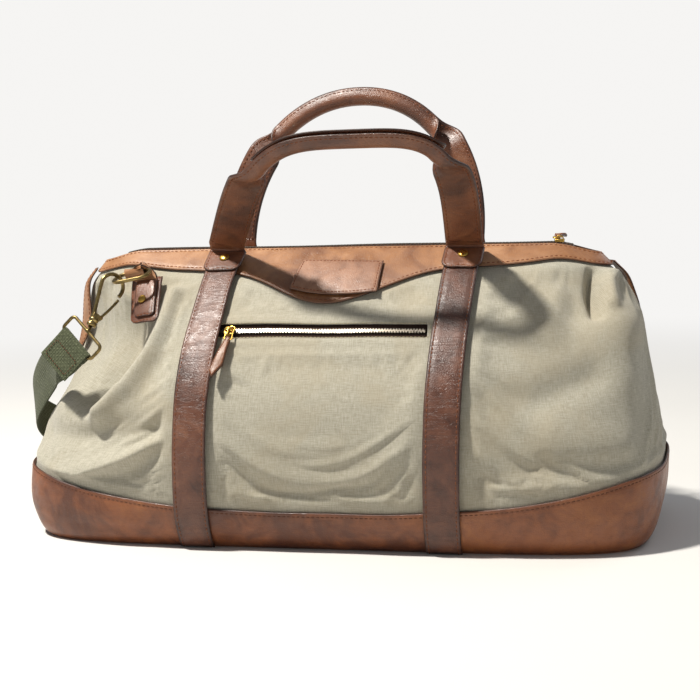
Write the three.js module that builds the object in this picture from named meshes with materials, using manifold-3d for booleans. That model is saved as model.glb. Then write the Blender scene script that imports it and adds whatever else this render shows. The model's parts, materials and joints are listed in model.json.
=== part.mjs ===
// A canvas and leather duffel bag: a soft canvas body on a leather base, leather yokes along a top zip,
// two folding handles, a zipped front pocket and a clip-on webbing shoulder strap.
// Millimetres, +Z up. The origin is on the ground under the middle of the bag, and the front faces -Y.
import * as THREE from "three";
import { mergeVertices } from "three/addons/utils/BufferGeometryUtils.js";
import Module from "manifold-3d";

const wasm = await Module();
wasm.setup();

// ---------------------------------------------------------------- driving dimensions
const GAP = 0.3; // space between flat pieces sewn on each other
const LAYER_GAP = 1.2; // space between curved layers, whose facets differ a little
const CANVAS = 1.6;
const LEATHER = 2.4;
const WIRE = 3.6; // rings, hooks and loops are bent from wire of this diameter
const COLUMNS = 20; // facets round half of the body

const ZIP_Z = 258; // height of the zip opening
const STRAP_X = 111; // middle of each body strap at the base
const FRONT_DRIFT = 7; // the front straps lean this far to the right, up to the crease
const STRAP_WIDTH = 31;
const TAB_WIDTH = 36;
const TAB_BOTTOM_Z = 234;
const CREASE_Z = 251; // where a handle bends away from the bag
const CREASE_OFFSET = 10.5;
const HANDLE_WIDTH = 33;
const HANDLE_RISE = 139;
const LEG = 5; // two layers of leather
const GRIP = 15; // diameter of the rolled grip
const CORE = 9;
// Degrees that a handle leans out at rest, the side shift of its grip, how square its arch is and how
// much narrower it is at the grip.
const FRONT_HANDLE = { lean: 47, sway: 34, squareness: 4, taper: 0.22 };
const REAR_HANDLE = { lean: 6, sway: -9, squareness: 2.1, taper: 0 };

const POCKET_Z = 190;
const POCKET_HALF = 95;
const POCKET_WINDOW = 10.5;
const POCKET_DEPTH = 110;
const CHAIN = 5;
const MAIN_CHAIN = 7;
const MAIN_CHAIN_HALF = 214;
const MAIN_SLIDER_X = 200;
const SLIDER_LENGTH = 9;

const WEBBING_WIDTH = 38;
const WEBBING = 2;
const RING_TAB_X = -172; // the ring tab's rivet
const RING_TAB_Z = 211;
const RING_TAB_TURN = 8; // degrees
const RING_WIDTH = 37;
const RING_DEPTH = 25;
const HOOK_LENGTH = 43; // from the middle of the eye to the swivel
const HOOK_EYE = 11.5; // radius of the middle of the wire

// Half length, half depth and height of the body, from the ground to the zip.
const PROFILE = new THREE.CatmullRomCurve3(
  [
    [272, 118, 0],
    [281, 127, 8],
    [289, 138, 30],
    [292, 144, 62],
    [292, 145, 95],
    [289, 137, 135],
    [282, 117, 170],
    [272, 90, 200],
    [260, 62, 226],
    [247, 34, 245],
    [234, 12, ZIP_Z],
  ].map((p) => new THREE.Vector3(...p)),
  false,
  "centripetal",
);
const PROFILE_LENGTH = PROFILE.getLength();

// The footprint is a superellipse: nearly a rectangle on the ground, rounder higher up.
const squareness = (z) => 3 + 3 * Math.exp(-z / 50);
// The two corners that carry the shoulder strap are slack and sit a little further in.
const SLACK = 0.19;
const SLACK_Z = 182;
const slack = (angle, z) => {
  const towards = Math.abs(Math.cos(angle - THREE.MathUtils.degToRad(208))) ** 7;
  return 1 - SLACK * towards * Math.exp(-Math.pow((z - SLACK_Z) / 50, 2));
};
// The leather base is low along the middle and rises to the ends.
const baseEdgeZ = (x) => 37 + 31 * Math.pow(Math.abs(x) / 290, 2.5);
// The yokes hang lowest in the middle, are narrow under the straps and run out over the top corners.
const yokeEdgeZ = (x) => {
  const dip = 28 * Math.exp(-Math.pow(x / 62, 2));
  const rise = 6 * Math.exp(-Math.pow((Math.abs(x) - 215) / 45, 2));
  return 239 - dip + rise;
};

// ---------------------------------------------------------------- materials
const LOOKS = {
  canvas: { color: 0xa79f82, roughness: 0.95, metalness: 0 },
  lining: { color: 0xb9ab8c, roughness: 0.95, metalness: 0 },
  base_leather: { color: 0x8a4f2b, roughness: 0.55, metalness: 0 },
  strap_leather: { color: 0x5f3320, roughness: 0.5, metalness: 0 },
  tan_leather: { color: 0xb9855a, roughness: 0.55, metalness: 0 },
  webbing: { color: 0x565a3c, roughness: 0.85, metalness: 0 },
  brass: { color: 0x9a7c3c, roughness: 0.35, metalness: 1 },
  zip_metal: { color: 0x8d8378, roughness: 0.4, metalness: 1 },
  tape: { color: 0x3a2a20, roughness: 0.9, metalness: 0 },
  board: { color: 0x3b3a38, roughness: 0.8, metalness: 0 },
};
const materials = Object.fromEntries(
  Object.entries(LOOKS).map(([name, look]) => [name, new THREE.MeshStandardMaterial({ name, ...look })]),
);

const bag = new THREE.Group();
const rear = new THREE.Group(); // repeats of front pieces, turned half round
rear.rotation.z = Math.PI;
bag.add(rear);

function add(parent, name, material, geometry) {
  const mesh = new THREE.Mesh(geometry, materials[material]);
  mesh.name = name;
  parent.add(mesh);
  return mesh;
}

// ---------------------------------------------------------------- the body's surface
const lerp = THREE.MathUtils.lerp;
const radians = THREE.MathUtils.degToRad;
const vec = (x, y, z) => new THREE.Vector3(x, y, z);

// The share of the profile's length below a height.
function share(z) {
  let low = 0;
  let high = 1;
  for (let i = 0; i < 30; i++) {
    const middle = (low + high) / 2;
    if (PROFILE.getPointAt(middle).z < z) low = middle;
    else high = middle;
  }
  return low;
}

// The point of the body in a direction round it, at a share of the profile, moved out by an offset.
function shell(angle, s, offset = 0) {
  const at = THREE.MathUtils.clamp(s, 0, 1);
  const p = PROFILE.getPointAt(at);
  const slope = PROFILE.getTangentAt(at);
  const n = squareness(p.z);
  const c = Math.cos(angle);
  const q = Math.sin(angle);
  const r = Math.pow(Math.abs(c) ** n + Math.abs(q) ** n, -1 / n);
  const along = Math.abs(r * c) ** (n - 1);
  const across = Math.abs(r * q) ** (n - 1);
  const normal = vec(
    (Math.sign(c) * along * slope.z) / p.x,
    (Math.sign(q) * across * slope.z) / p.y,
    -(along * Math.abs(r * c) * slope.x) / p.x - (across * Math.abs(r * q) * slope.y) / p.y,
  ).normalize();
  const drawnIn = slack(angle, p.z) * r;
  const point = vec(p.x * drawnIn * c, p.y * drawnIn * q, p.z).addScaledVector(normal, offset);
  point.z = Math.max(point.z, 0);
  return { point, normal };
}

// The direction round the body that reaches a distance along the front.
function facing(x, s) {
  const p = PROFILE.getPointAt(THREE.MathUtils.clamp(s, 0, 1));
  const n = squareness(p.z);
  let angle = -Math.PI / 2;
  for (let i = 0; i < 12; i++) {
    const along = x / (p.x * slack(angle, p.z));
    angle = Math.atan2(-Math.pow(Math.max(1 - Math.abs(along) ** n, 0), 1 / n), along);
  }
  return angle;
}

const front = (x, s, offset = 0) => shell(facing(x, s), s, offset);

// ---------------------------------------------------------------- solids
// A closed sheet between two surfaces of u and v, each 0 to 1. A ring closes on itself along u.
function sheet(columns, rows, outer, inner, ring = false) {
  const positions = [];
  for (const side of [outer, inner])
    for (let j = 0; j <= rows; j++)
      for (let i = 0; i <= columns; i++) positions.push(...side(i / columns, j / rows).toArray());
  const stride = columns + 1;
  const layer = stride * (rows + 1);
  const at = (side, i, j) => side * layer + j * stride + (ring ? i % columns : i);
  const index = [];
  const quad = (a, b, c, d) => index.push(a, b, c, a, c, d);
  for (let j = 0; j < rows; j++)
    for (let i = 0; i < columns; i++) {
      quad(at(0, i, j), at(0, i + 1, j), at(0, i + 1, j + 1), at(0, i, j + 1));
      quad(at(1, i, j), at(1, i, j + 1), at(1, i + 1, j + 1), at(1, i + 1, j));
    }
  for (let i = 0; i < columns; i++) {
    quad(at(0, i, 0), at(1, i, 0), at(1, i + 1, 0), at(0, i + 1, 0));
    quad(at(0, i, rows), at(0, i + 1, rows), at(1, i + 1, rows), at(1, i, rows));
  }
  for (let j = 0; j < rows && !ring; j++) {
    quad(at(0, 0, j), at(0, 0, j + 1), at(1, 0, j + 1), at(1, 0, j));
    quad(at(0, columns, j), at(1, columns, j), at(1, columns, j + 1), at(0, columns, j + 1));
  }
  return facingOut(positions, index);
}

// A section swept along frames, each { at, side, up }. Sections are outlines in side and up.
function sweep(frames, sectionAt, closed = false) {
  const sections = frames.map((frame, i) => sectionAt(i / (frames.length - 1)));
  const sides = sections[0].length;
  const positions = [];
  frames.forEach(({ at, side, up }, i) => {
    for (const [a, b] of sections[i]) {
      positions.push(...at.clone().addScaledVector(side, a).addScaledVector(up, b).toArray());
    }
  });
  const index = [];
  const spans = closed ? frames.length : frames.length - 1;
  for (let i = 0; i < spans; i++)
    for (let k = 0; k < sides; k++) {
      const [a, b] = [i * sides, ((i + 1) % frames.length) * sides];
      const [c, d] = [k, (k + 1) % sides];
      index.push(a + c, a + d, b + d, a + c, b + d, b + c);
    }
  if (!closed) {
    const last = (frames.length - 1) * sides;
    const flat = (section) => section.map(([a, b]) => new THREE.Vector2(a, b));
    const cap = (section) => THREE.ShapeUtils.triangulateShape(flat(section), []);
    for (const [a, b, c] of cap(sections[0])) index.push(a, c, b);
    for (const [a, b, c] of cap(sections.at(-1))) index.push(last + a, last + b, last + c);
  }
  return facingOut(positions, index);
}

function facingOut(positions, index) {
  let volume = 0;
  const corner = (i) => new THREE.Vector3().fromArray(positions, 3 * i);
  for (let i = 0; i < index.length; i += 3) {
    const [a, b, c] = [corner(index[i]), corner(index[i + 1]), corner(index[i + 2])];
    volume += a.dot(b.cross(c));
  }
  for (let i = 0; i < index.length && volume < 0; i += 3) {
    [index[i + 1], index[i + 2]] = [index[i + 2], index[i + 1]];
  }
  return new THREE.BufferGeometry()
    .setAttribute("position", new THREE.Float32BufferAttribute(positions, 3))
    .setIndex(index);
}

function solid(geometry) {
  const plain = new THREE.BufferGeometry().setAttribute("position", geometry.getAttribute("position"));
  if (geometry.index) plain.setIndex(geometry.index);
  const merged = mergeVertices(plain, 1e-3);
  return new wasm.Manifold(
    new wasm.Mesh({
      numProp: 3,
      vertProperties: merged.attributes.position.array,
      triVerts: new Uint32Array(merged.index.array),
    }),
  );
}

function geometryOf(manifold) {
  const mesh = manifold.getMesh();
  return new THREE.BufferGeometry()
    .setAttribute("position", new THREE.BufferAttribute(mesh.vertProperties, 3))
    .setIndex(new THREE.BufferAttribute(mesh.triVerts, 1));
}

const join = (...pieces) => geometryOf(pieces.map(solid).reduce((a, b) => a.add(b)));
const cut = (piece, ...tools) => geometryOf(tools.map(solid).reduce((a, b) => a.subtract(b), solid(piece)));

function box(width, depth, height, x, y, z) {
  return new THREE.BoxGeometry(width, depth, height).translate(x, y, z);
}

// Sections.
const circle = (diameter, sides = 6) =>
  Array.from({ length: sides }, (_, k) => {
    const angle = (2 * Math.PI * k) / sides;
    return [(diameter / 2) * Math.cos(angle), (diameter / 2) * Math.sin(angle)];
  });
const rectangle = (width, height) => [
  [-width / 2, -height / 2],
  [width / 2, -height / 2],
  [width / 2, height / 2],
  [-width / 2, height / 2],
];

// Frames along points that lie in one plane with the given normal.
function framesIn(plane, points, closed = false) {
  const count = points.length;
  return points.map((at, i) => {
    const before = points[closed ? (i + count - 1) % count : Math.max(i - 1, 0)];
    const after = points[closed ? (i + 1) % count : Math.min(i + 1, count - 1)];
    const side = vec(0, 0, 0).crossVectors(plane, after.clone().sub(before)).normalize();
    return { at, side, up: plane.clone() };
  });
}

// A strip on the body: v runs up the profile, and the half width can change along it.
function strip({ x, from, to, halfWidth, rows, columns = 2, offset, thickness, turn = 0 }) {
  const middle = (from + to) / 2;
  const place = (u, v, out) => {
    const across = (2 * u - 1) * halfWidth(v);
    const along = lerp(from, to, v) * PROFILE_LENGTH - middle * PROFILE_LENGTH;
    const c = Math.cos(turn);
    const q = Math.sin(turn);
    return front(x + across * c - along * q, middle + (across * q + along * c) / PROFILE_LENGTH, out).point;
  };
  const outer = (u, v) => place(u, v, offset + thickness);
  const inner = (u, v) => place(u, v, offset);
  return sheet(columns, rows, outer, inner);
}

// Half the width of a strip whose ends have round corners of a radius.
const rounded = (half, length, radius, bottom, top) => (v) => {
  const nearest = Math.min(bottom ? v * length : length, top ? (1 - v) * length : length);
  const missing = Math.max(radius - nearest, 0);
  return half - radius + Math.sqrt(radius * radius - missing * missing);
};

// A domed rivet cap on a short stem, standing on the body at a place.
function rivetAt(x, s, offset, radius = 4.8) {
  const profile = [
    [0, -LEATHER],
    [1.5, -LEATHER],
    [1.5, 0],
    [radius, 0],
    [radius, 0.8],
    [radius * 0.72, 1.7],
    [0, 2.2],
  ].map(([r, h]) => new THREE.Vector2(r, h));
  return standing(new THREE.LatheGeometry(profile, 12), x, s, offset);
}

const rivetHole = (x, s, offset) => standing(new THREE.CylinderGeometry(1.9, 1.9, 8, 12), x, s, offset);

function standing(geometry, x, s, offset) {
  const { point, normal } = front(x, s, offset);
  const turn = new THREE.Quaternion().setFromUnitVectors(vec(0, 1, 0), normal);
  return geometry.applyQuaternion(turn).translate(...point.toArray());
}

// ---------------------------------------------------------------- the body
const halfTurn = (start) => (u) => start + 0.004 + u * (Math.PI - 0.008);

function canvasPanel(start) {
  const angle = halfTurn(start);
  const [low, high] = [share(14), share(ZIP_Z - 2.5)];
  return sheet(
    COLUMNS,
    10,
    (u, v) => shell(angle(u), lerp(low, high, v)).point,
    (u, v) => shell(angle(u), lerp(low, high, v), -CANVAS).point,
  );
}

function outline(s, offset) {
  const points = Array.from({ length: 2 * COLUMNS }, (_, i) => {
    const { point } = shell((Math.PI * i) / COLUMNS, s, offset);
    return new THREE.Vector2(point.x, point.y);
  });
  return new THREE.Shape(points);
}

function floorPlate(offset, bottom, thickness) {
  const options = { depth: thickness, bevelEnabled: false };
  return new THREE.ExtrudeGeometry(outline(0, offset), options).translate(0, 0, bottom);
}

function leatherBase() {
  const wall = (offset) => (u, v) => {
    const angle = 2 * Math.PI * u;
    const top = share(baseEdgeZ(shell(angle, 0.12).point.x));
    return shell(angle, top * v, offset).point;
  };
  const band = sheet(2 * COLUMNS, 5, wall(LAYER_GAP + LEATHER), wall(LAYER_GAP), true);
  return join(band, floorPlate(LAYER_GAP + LEATHER / 2, 0, LEATHER));
}

function liningTub() {
  const inset = -12;
  const floor = 11;
  const high = share(ZIP_Z - 16);
  const wall = (offset) => (u, v) => {
    const { point } = shell(2 * Math.PI * u, high * v, offset);
    return point.setZ(Math.max(point.z, floor));
  };
  const sides = sheet(2 * COLUMNS, 5, wall(inset), wall(inset - 1), true);
  return join(sides, floorPlate(inset - 0.5, floor, 1));
}

function yoke(start) {
  const angle = halfTurn(start);
  const place = (offset) => (u, v) => {
    const low = share(yokeEdgeZ(shell(angle(u), 0.95).point.x));
    return shell(angle(u), lerp(low, share(ZIP_Z - 1.5), v), offset).point;
  };
  return sheet(COLUMNS, 4, place(LAYER_GAP + LEATHER), place(LAYER_GAP));
}

// A leather tail that covers the seam down the middle of an end and runs out in a point.
function endTail(angle) {
  const [low, high] = [share(156), share(238)];
  const place = (offset) => (u, v) => {
    const half = lerp(0.012, 0.13, Math.sqrt(v));
    return shell(angle + (2 * u - 1) * half, lerp(low, high, v), offset).point;
  };
  const base = 2 * LAYER_GAP + LEATHER;
  return sheet(2, 6, place(base + LEATHER), place(base));
}

add(bag, "leather_base", "base_leather", leatherBase());
add(bag, "base_board", "board", floorPlate(-9, LEATHER + GAP, 4));
add(bag, "lining", "lining", liningTub());

const { point: pocketPoint, normal: pocketNormal } = front(0, share(POCKET_Z));
const windowCut = box(2 * POCKET_HALF, 60, POCKET_WINDOW, 0, pocketPoint.y, POCKET_Z);
add(bag, "canvas_front", "canvas", cut(canvasPanel(Math.PI), windowCut));
add(bag, "canvas_back", "canvas", canvasPanel(0));
add(bag, "yoke_front", "tan_leather", yoke(Math.PI));
add(bag, "yoke_rear", "tan_leather", yoke(0));
add(bag, "end_tail_left", "tan_leather", endTail(Math.PI));
add(bag, "end_tail_right", "tan_leather", endTail(0));

// ---------------------------------------------------------------- body straps, handle tabs and rivets
const STRAP_OFFSET = 2 * LAYER_GAP + LEATHER; // the straps lie over the base and the yokes
const TAB_OFFSET = STRAP_OFFSET + LEATHER + GAP;
const creaseShare = share(CREASE_Z);
const CREASE_CLEARANCE = 3.6 / PROFILE_LENGTH; // from the ends of a strap and tab to the crease

// A strap's turn on the body when it leans sideways between the base and the crease.
const strapTurn = (drift) => -drift / ((creaseShare - share(5)) * PROFILE_LENGTH);

function bodyStrap(x, drift) {
  const [from, to] = [share(5), creaseShare - CREASE_CLEARANCE];
  const shape = { x: x + drift / 2, from, to, turn: strapTurn(drift) };
  const halfWidth = () => STRAP_WIDTH / 2;
  return strip({ ...shape, halfWidth, rows: 14, offset: STRAP_OFFSET, thickness: LEATHER });
}

function handleTab(x, drift) {
  const [from, to] = [share(TAB_BOTTOM_Z), creaseShare - CREASE_CLEARANCE];
  const halfWidth = rounded(TAB_WIDTH / 2, (to - from) * PROFILE_LENGTH, 9, true, false);
  const shape = { x: x + drift, from, to, halfWidth, turn: strapTurn(drift) };
  return strip({ ...shape, rows: 6, offset: TAB_OFFSET, thickness: LEATHER });
}

for (const [parent, side, x, hand, drift] of [
  [bag, "front", -STRAP_X, "left", FRONT_DRIFT],
  [bag, "front", STRAP_X, "right", FRONT_DRIFT],
  [rear, "rear", STRAP_X, "left", 0],
  [rear, "rear", -STRAP_X, "right", 0],
]) {
  const s = share((TAB_BOTTOM_Z + CREASE_Z) / 2 + 1);
  const tab = cut(handleTab(x, drift), rivetHole(x + drift, s, TAB_OFFSET));
  add(parent, `body_strap_${side}_${hand}`, "strap_leather", bodyStrap(x, drift));
  add(parent, `handle_tab_${side}_${hand}`, "strap_leather", tab);
  add(parent, `tab_rivet_${side}_${hand}`, "brass", rivetAt(x + drift, s, TAB_OFFSET + LEATHER + GAP));
}

// ---------------------------------------------------------------- handles
// A point of a handle's middle line, a flat-topped arch whose grip is shifted from above its feet.
function arch(t, { sway, squareness, taper }) {
  const flattened = (n) => Math.sign(n) * Math.abs(n) ** (2 / squareness);
  const [across, rise] = [flattened(Math.cos(t)), flattened(Math.sin(t))];
  return vec(sway * rise - STRAP_X * across * (1 - taper * rise), 0, 5 + (HANDLE_RISE - 5) * rise);
}

// Flat legs that fold round a core between two shares of the arch.
function handleStrap(shape) {
  const steps = 18;
  const points = Array.from({ length: steps + 1 }, (_, i) => arch((Math.PI * i) / steps, shape));
  const section = (v) => {
    const folded = THREE.MathUtils.smoothstep(0.5 - Math.abs(v - 0.5), 0.22, 0.32);
    const width = lerp(HANDLE_WIDTH, GRIP, folded);
    const depth = lerp(LEG, GRIP, folded);
    const power = lerp(0.35, 1, folded);
    return circle(2, 10).map(([a, b]) => [
      (Math.sign(a) * Math.abs(a) ** power * width) / 2,
      (Math.sign(b) * Math.abs(b) ** power * depth) / 2,
    ]);
  };
  const strap = sweep(framesIn(vec(0, 1, 0), points), section);
  const keyhole = circle(CORE + 1.8, 10).filter(([a]) => a < CORE / 2);
  const slot = [
    [CORE / 2 - 0.5, -0.5],
    [GRIP, -0.5],
    [GRIP, 0.5],
    [CORE / 2 - 0.5, 0.5],
  ];
  const frames = coreFrames(shape, 0.33);
  return cut(strap, sweep(frames, () => keyhole), sweep(frames, () => slot));
}

const coreFrames = (shape, from) => {
  const steps = 8;
  const at = (i) => arch(Math.PI * lerp(from, 1 - from, i / steps), shape);
  return framesIn(vec(0, 1, 0), Array.from({ length: steps + 1 }, (_, i) => at(i)));
};
const handleCore = (shape) => sweep(coreFrames(shape, 0.36), () => circle(CORE));

function addHandle(parent, name, drift, shape) {
  const { point } = front(0, creaseShare, CREASE_OFFSET);
  const group = new THREE.Group();
  group.position.set(drift, point.y, point.z);
  group.rotation.x = radians(shape.lean);
  parent.add(group);
  add(group, `handle_${name}`, "strap_leather", handleStrap(shape));
  add(group, `handle_core_${name}`, "board", handleCore(shape));
}

addHandle(bag, "front", FRONT_DRIFT, FRONT_HANDLE);
addHandle(rear, "rear", 0, REAR_HANDLE);

// ---------------------------------------------------------------- label patch
function labelPatch() {
  const [from, to] = [share(217), share(243)];
  const length = (to - from) * PROFILE_LENGTH;
  const halfWidth = rounded(38, length, 4, true, true);
  const shape = { x: 7, from, to, halfWidth, rows: 8, columns: 4, turn: radians(-3) };
  return strip({ ...shape, offset: STRAP_OFFSET, thickness: LEATHER });
}

add(bag, "label_patch", "tan_leather", labelPatch());

// ---------------------------------------------------------------- zips
// A toothed chain along X, lying in the XY plane.
function chain(half, width, tooth) {
  const count = Math.floor(half / tooth);
  const points = [];
  for (let i = -count; i <= count; i++) {
    const deep = i % 2 === 0 ? width / 2 : width / 2 - 1.2;
    points.push([(i - 0.5) * tooth, deep], [(i + 0.5) * tooth, deep]);
  }
  const edge = points.map(([x, y]) => new THREE.Vector2(x, y));
  const other = points.map(([x, y]) => new THREE.Vector2(x, -y)).reverse();
  const shape = new THREE.Shape([...edge, ...other]);
  return new THREE.ExtrudeGeometry(shape, { depth: 1.8, bevelEnabled: false }).translate(0, 0, -0.9);
}

const pocketTilt = Math.atan2(pocketNormal.z, -pocketNormal.y);
const onPocket = (geometry, out) => {
  const { x, y, z } = pocketPoint.clone().addScaledVector(pocketNormal, out);
  return geometry.rotateX(Math.PI / 2 - pocketTilt).translate(x, y, z);
};

// A slider plate with two rails that straddle a chain. It lies in the XY plane, its top facing +Z, and a
// crown along its length holds the pull's ring.
const CROWN_LEG_X = 2.75;
function slider(width) {
  const rail = width / 2 + 1.3;
  const plate = box(SLIDER_LENGTH, 2 * rail + 1.4, 1.4, 0, 0, 2);
  const rails = [-1, 1].map((side) => box(SLIDER_LENGTH, 1.4, 3, 0, side * rail, 0.9));
  const crown = cut(box(SLIDER_LENGTH - 2, 1.6, 3.6, 0, 0, 4.3), box(4, 4, 2.4, 0, 0, 4));
  return join(plate, ...rails, crown);
}

// The wire ring goes round one leg of the crown and lies towards -Y.
function pullRing() {
  const corners = [
    [-2.6, 2.2],
    [-2.6, -4],
    [-3.6, -11],
    [3.6, -11],
    [2.6, -4],
    [2.6, 2.2],
  ].map(([x, y]) => vec(x, y, 0));
  return sweep(framesIn(vec(0, 0, 1), corners, true), () => circle(1.5, 6), true);
}

// A folded leather pull, stitched and cut to a slant at its end. It hangs from the ring towards -Y.
function leatherPull(length) {
  const shape = new THREE.Shape()
    .moveTo(-2.4, -8)
    .lineTo(2.4, -8)
    .lineTo(5.6, 7.5 - length)
    .lineTo(-0.5, -length - 7.5)
    .lineTo(-5.6, -length);
  const body = new THREE.ExtrudeGeometry(shape, { depth: 3.6, bevelEnabled: false }).translate(0, 0, -1.8);
  return cut(body, box(20, 3, 3, 0, -11, 0), box(20, 7, 1, 0, -14, 0));
}

// The pocket: two tapes and a chain behind a window in the canvas, and a flat pouch that hangs inside.
function pocketTape(side) {
  const [near, far] = [side * (CHAIN / 2 + 0.6), side * (CHAIN / 2 + 11)];
  const middle = share(POCKET_Z);
  const [from, to] = [near, far].sort((a, b) => a - b).map((d) => middle + d / PROFILE_LENGTH);
  const place = (offset) => (u, v) => {
    return front((2 * u - 1) * (POCKET_HALF + 5), lerp(from, to, v), offset).point;
  };
  const top = -CANVAS - LAYER_GAP;
  return sheet(10, 1, place(top), place(top - 1));
}

function pocketPouch() {
  const [from, to] = [share(POCKET_Z - POCKET_DEPTH), share(POCKET_Z + 12)];
  const place = (offset) => (u, v) => front((2 * u - 1) * (POCKET_HALF + 4), lerp(from, to, v), offset).point;
  return sheet(10, 10, place(-7), place(-9));
}

add(bag, "pocket_tape_upper", "tape", pocketTape(1));
add(bag, "pocket_tape_lower", "tape", pocketTape(-1));
add(bag, "pocket_pouch", "lining", pocketPouch());
add(bag, "pocket_chain", "zip_metal", onPocket(chain(POCKET_HALF - 2, CHAIN, 8), -1.2));

const pocketSlide = new THREE.Group();
const pocketFrame = new THREE.Matrix4().makeBasis(
  vec(1, 0, 0),
  vec(0, 0, 0).crossVectors(pocketNormal, vec(1, 0, 0)),
  pocketNormal,
);
pocketSlide.quaternion.setFromRotationMatrix(pocketFrame);
pocketSlide.position.copy(pocketPoint).addScaledVector(pocketNormal, -1.2).setX(12 - POCKET_HALF);
bag.add(pocketSlide);
const pocketPullLean = new THREE.Group();
pocketPullLean.position.set(CROWN_LEG_X, 0, 4);
pocketPullLean.rotation.z = radians(-9);
pocketSlide.add(pocketPullLean);
add(pocketSlide, "pocket_slider", "brass", slider(CHAIN));
add(pocketPullLean, "pocket_pull_ring", "brass", pullRing());
add(pocketPullLean, "pocket_pull", "tan_leather", leatherPull(46));

// The main zip lies flat along the top between the two yokes.
const MAIN_Z = ZIP_Z + 1;
function mainTape(side) {
  const [near, far] = [MAIN_CHAIN / 2 + 0.5, 9.3];
  return box(2 * MAIN_CHAIN_HALF, far - near, 1, 0, (side * (near + far)) / 2, MAIN_Z);
}

add(bag, "zip_tape_front", "tape", mainTape(-1));
add(bag, "zip_tape_rear", "tape", mainTape(1));
add(bag, "zip_chain", "zip_metal", chain(MAIN_CHAIN_HALF - 2, MAIN_CHAIN, 12).translate(0, 0, MAIN_Z));

const mainSlide = new THREE.Group();
mainSlide.position.set(MAIN_SLIDER_X, 0, MAIN_Z);
mainSlide.rotation.z = Math.PI;
bag.add(mainSlide);
add(mainSlide, "main_slider", "brass", cut(slider(MAIN_CHAIN), box(30, 30, 3, 0, 0, -0.7)));
const mainPull = new THREE.Group();
mainPull.position.set(CROWN_LEG_X, 0, 4);
mainSlide.add(mainPull);
add(mainPull, "main_pull_ring", "brass", pullRing());
add(mainPull, "main_pull", "tan_leather", leatherPull(46));

// ---------------------------------------------------------------- ring tabs and rings
const RING_TAB_HALF = 15;
const RING_TAB_LOW = 193; // heights of the ends of the tab's backing
const RING_TAB_HIGH = 234;
const ringTabShare = share(RING_TAB_Z);

// A strip on the body. The narrow one lies over the wide one and holds the ring in its fold.
function ringTab(half, low, high, offset) {
  const [from, to] = [share(low), share(high)];
  const halfWidth = rounded(half, (to - from) * PROFILE_LENGTH, 6, true, false);
  const shape = { x: RING_TAB_X, from, to, halfWidth, rows: 5, turn: radians(RING_TAB_TURN) };
  return strip({ ...shape, offset, thickness: LEATHER });
}

const ringTabTop = STRAP_OFFSET + LEATHER + GAP;
const rollPoint = vec(RING_TAB_X - 13, -58, 241);
const barDirection = vec(0.98, 0, 0.17).normalize();
const ringDown = vec(0, -0.96, -0.28);
const RING_BEND = 8;
const ringNormal = vec(0, 0, 0).crossVectors(barDirection, ringDown).normalize();

// The fold of the strip: a leather tube round the ring's bar.
function tabRoll() {
  const [inner, outer] = [WIRE + 1.2, WIRE + 1.2 + 2 * LEATHER];
  const along = (distance) => rollPoint.clone().addScaledVector(barDirection, distance);
  const tube = (half, diameter) => {
    return sweep(framesIn(ringNormal, [along(-half), along(half)]), () => circle(diameter, 12));
  };
  return cut(tube(8.5, outer), tube(12, inner));
}

// Points of a rounded rectangle, from its middle and two directions.
function roundedLoop(middle, across, along, width, depth, radius, steps = 2) {
  const points = [];
  for (const [sx, sy, start] of [
    [1, 1, 0],
    [-1, 1, 0.5],
    [-1, -1, 1],
    [1, -1, 1.5],
  ])
    for (let k = 0; k <= steps; k++) {
      const angle = Math.PI * (start + k / steps / 2);
      const a = sx * (width / 2 - radius) + radius * Math.cos(angle);
      const b = sy * (depth / 2 - radius) + radius * Math.sin(angle);
      points.push(middle.clone().addScaledVector(across, a).addScaledVector(along, b));
    }
  return points;
}

function dRing() {
  const middle = rollPoint.clone().addScaledVector(ringDown, (RING_DEPTH - WIRE) / 2);
  const loop = roundedLoop(middle, barDirection, ringDown, RING_WIDTH - WIRE, RING_DEPTH - WIRE, RING_BEND);
  return sweep(framesIn(ringNormal, loop, true), () => circle(WIRE), true);
}

for (const [parent, name] of [
  [bag, "front"],
  [rear, "rear"],
]) {
  const hole = () => rivetHole(RING_TAB_X, ringTabShare, ringTabTop);
  const top = ringTab(RING_TAB_HALF - 3, RING_TAB_LOW + 4, RING_TAB_HIGH - 6, ringTabTop);
  const backing = ringTab(RING_TAB_HALF, RING_TAB_LOW, RING_TAB_HIGH - 3, STRAP_OFFSET);
  add(parent, `ring_tab_backing_${name}`, "strap_leather", backing);
  add(parent, `ring_tab_${name}`, "strap_leather", cut(top, hole()));
  add(parent, `ring_tab_roll_${name}`, "tan_leather", tabRoll());
  const rivet = rivetAt(RING_TAB_X, ringTabShare, ringTabTop + LEATHER + 2 * GAP, 4);
  add(parent, `ring_tab_rivet_${name}`, "brass", rivet);
  add(parent, `d_ring_${name}`, "brass", dRing());
}

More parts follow.
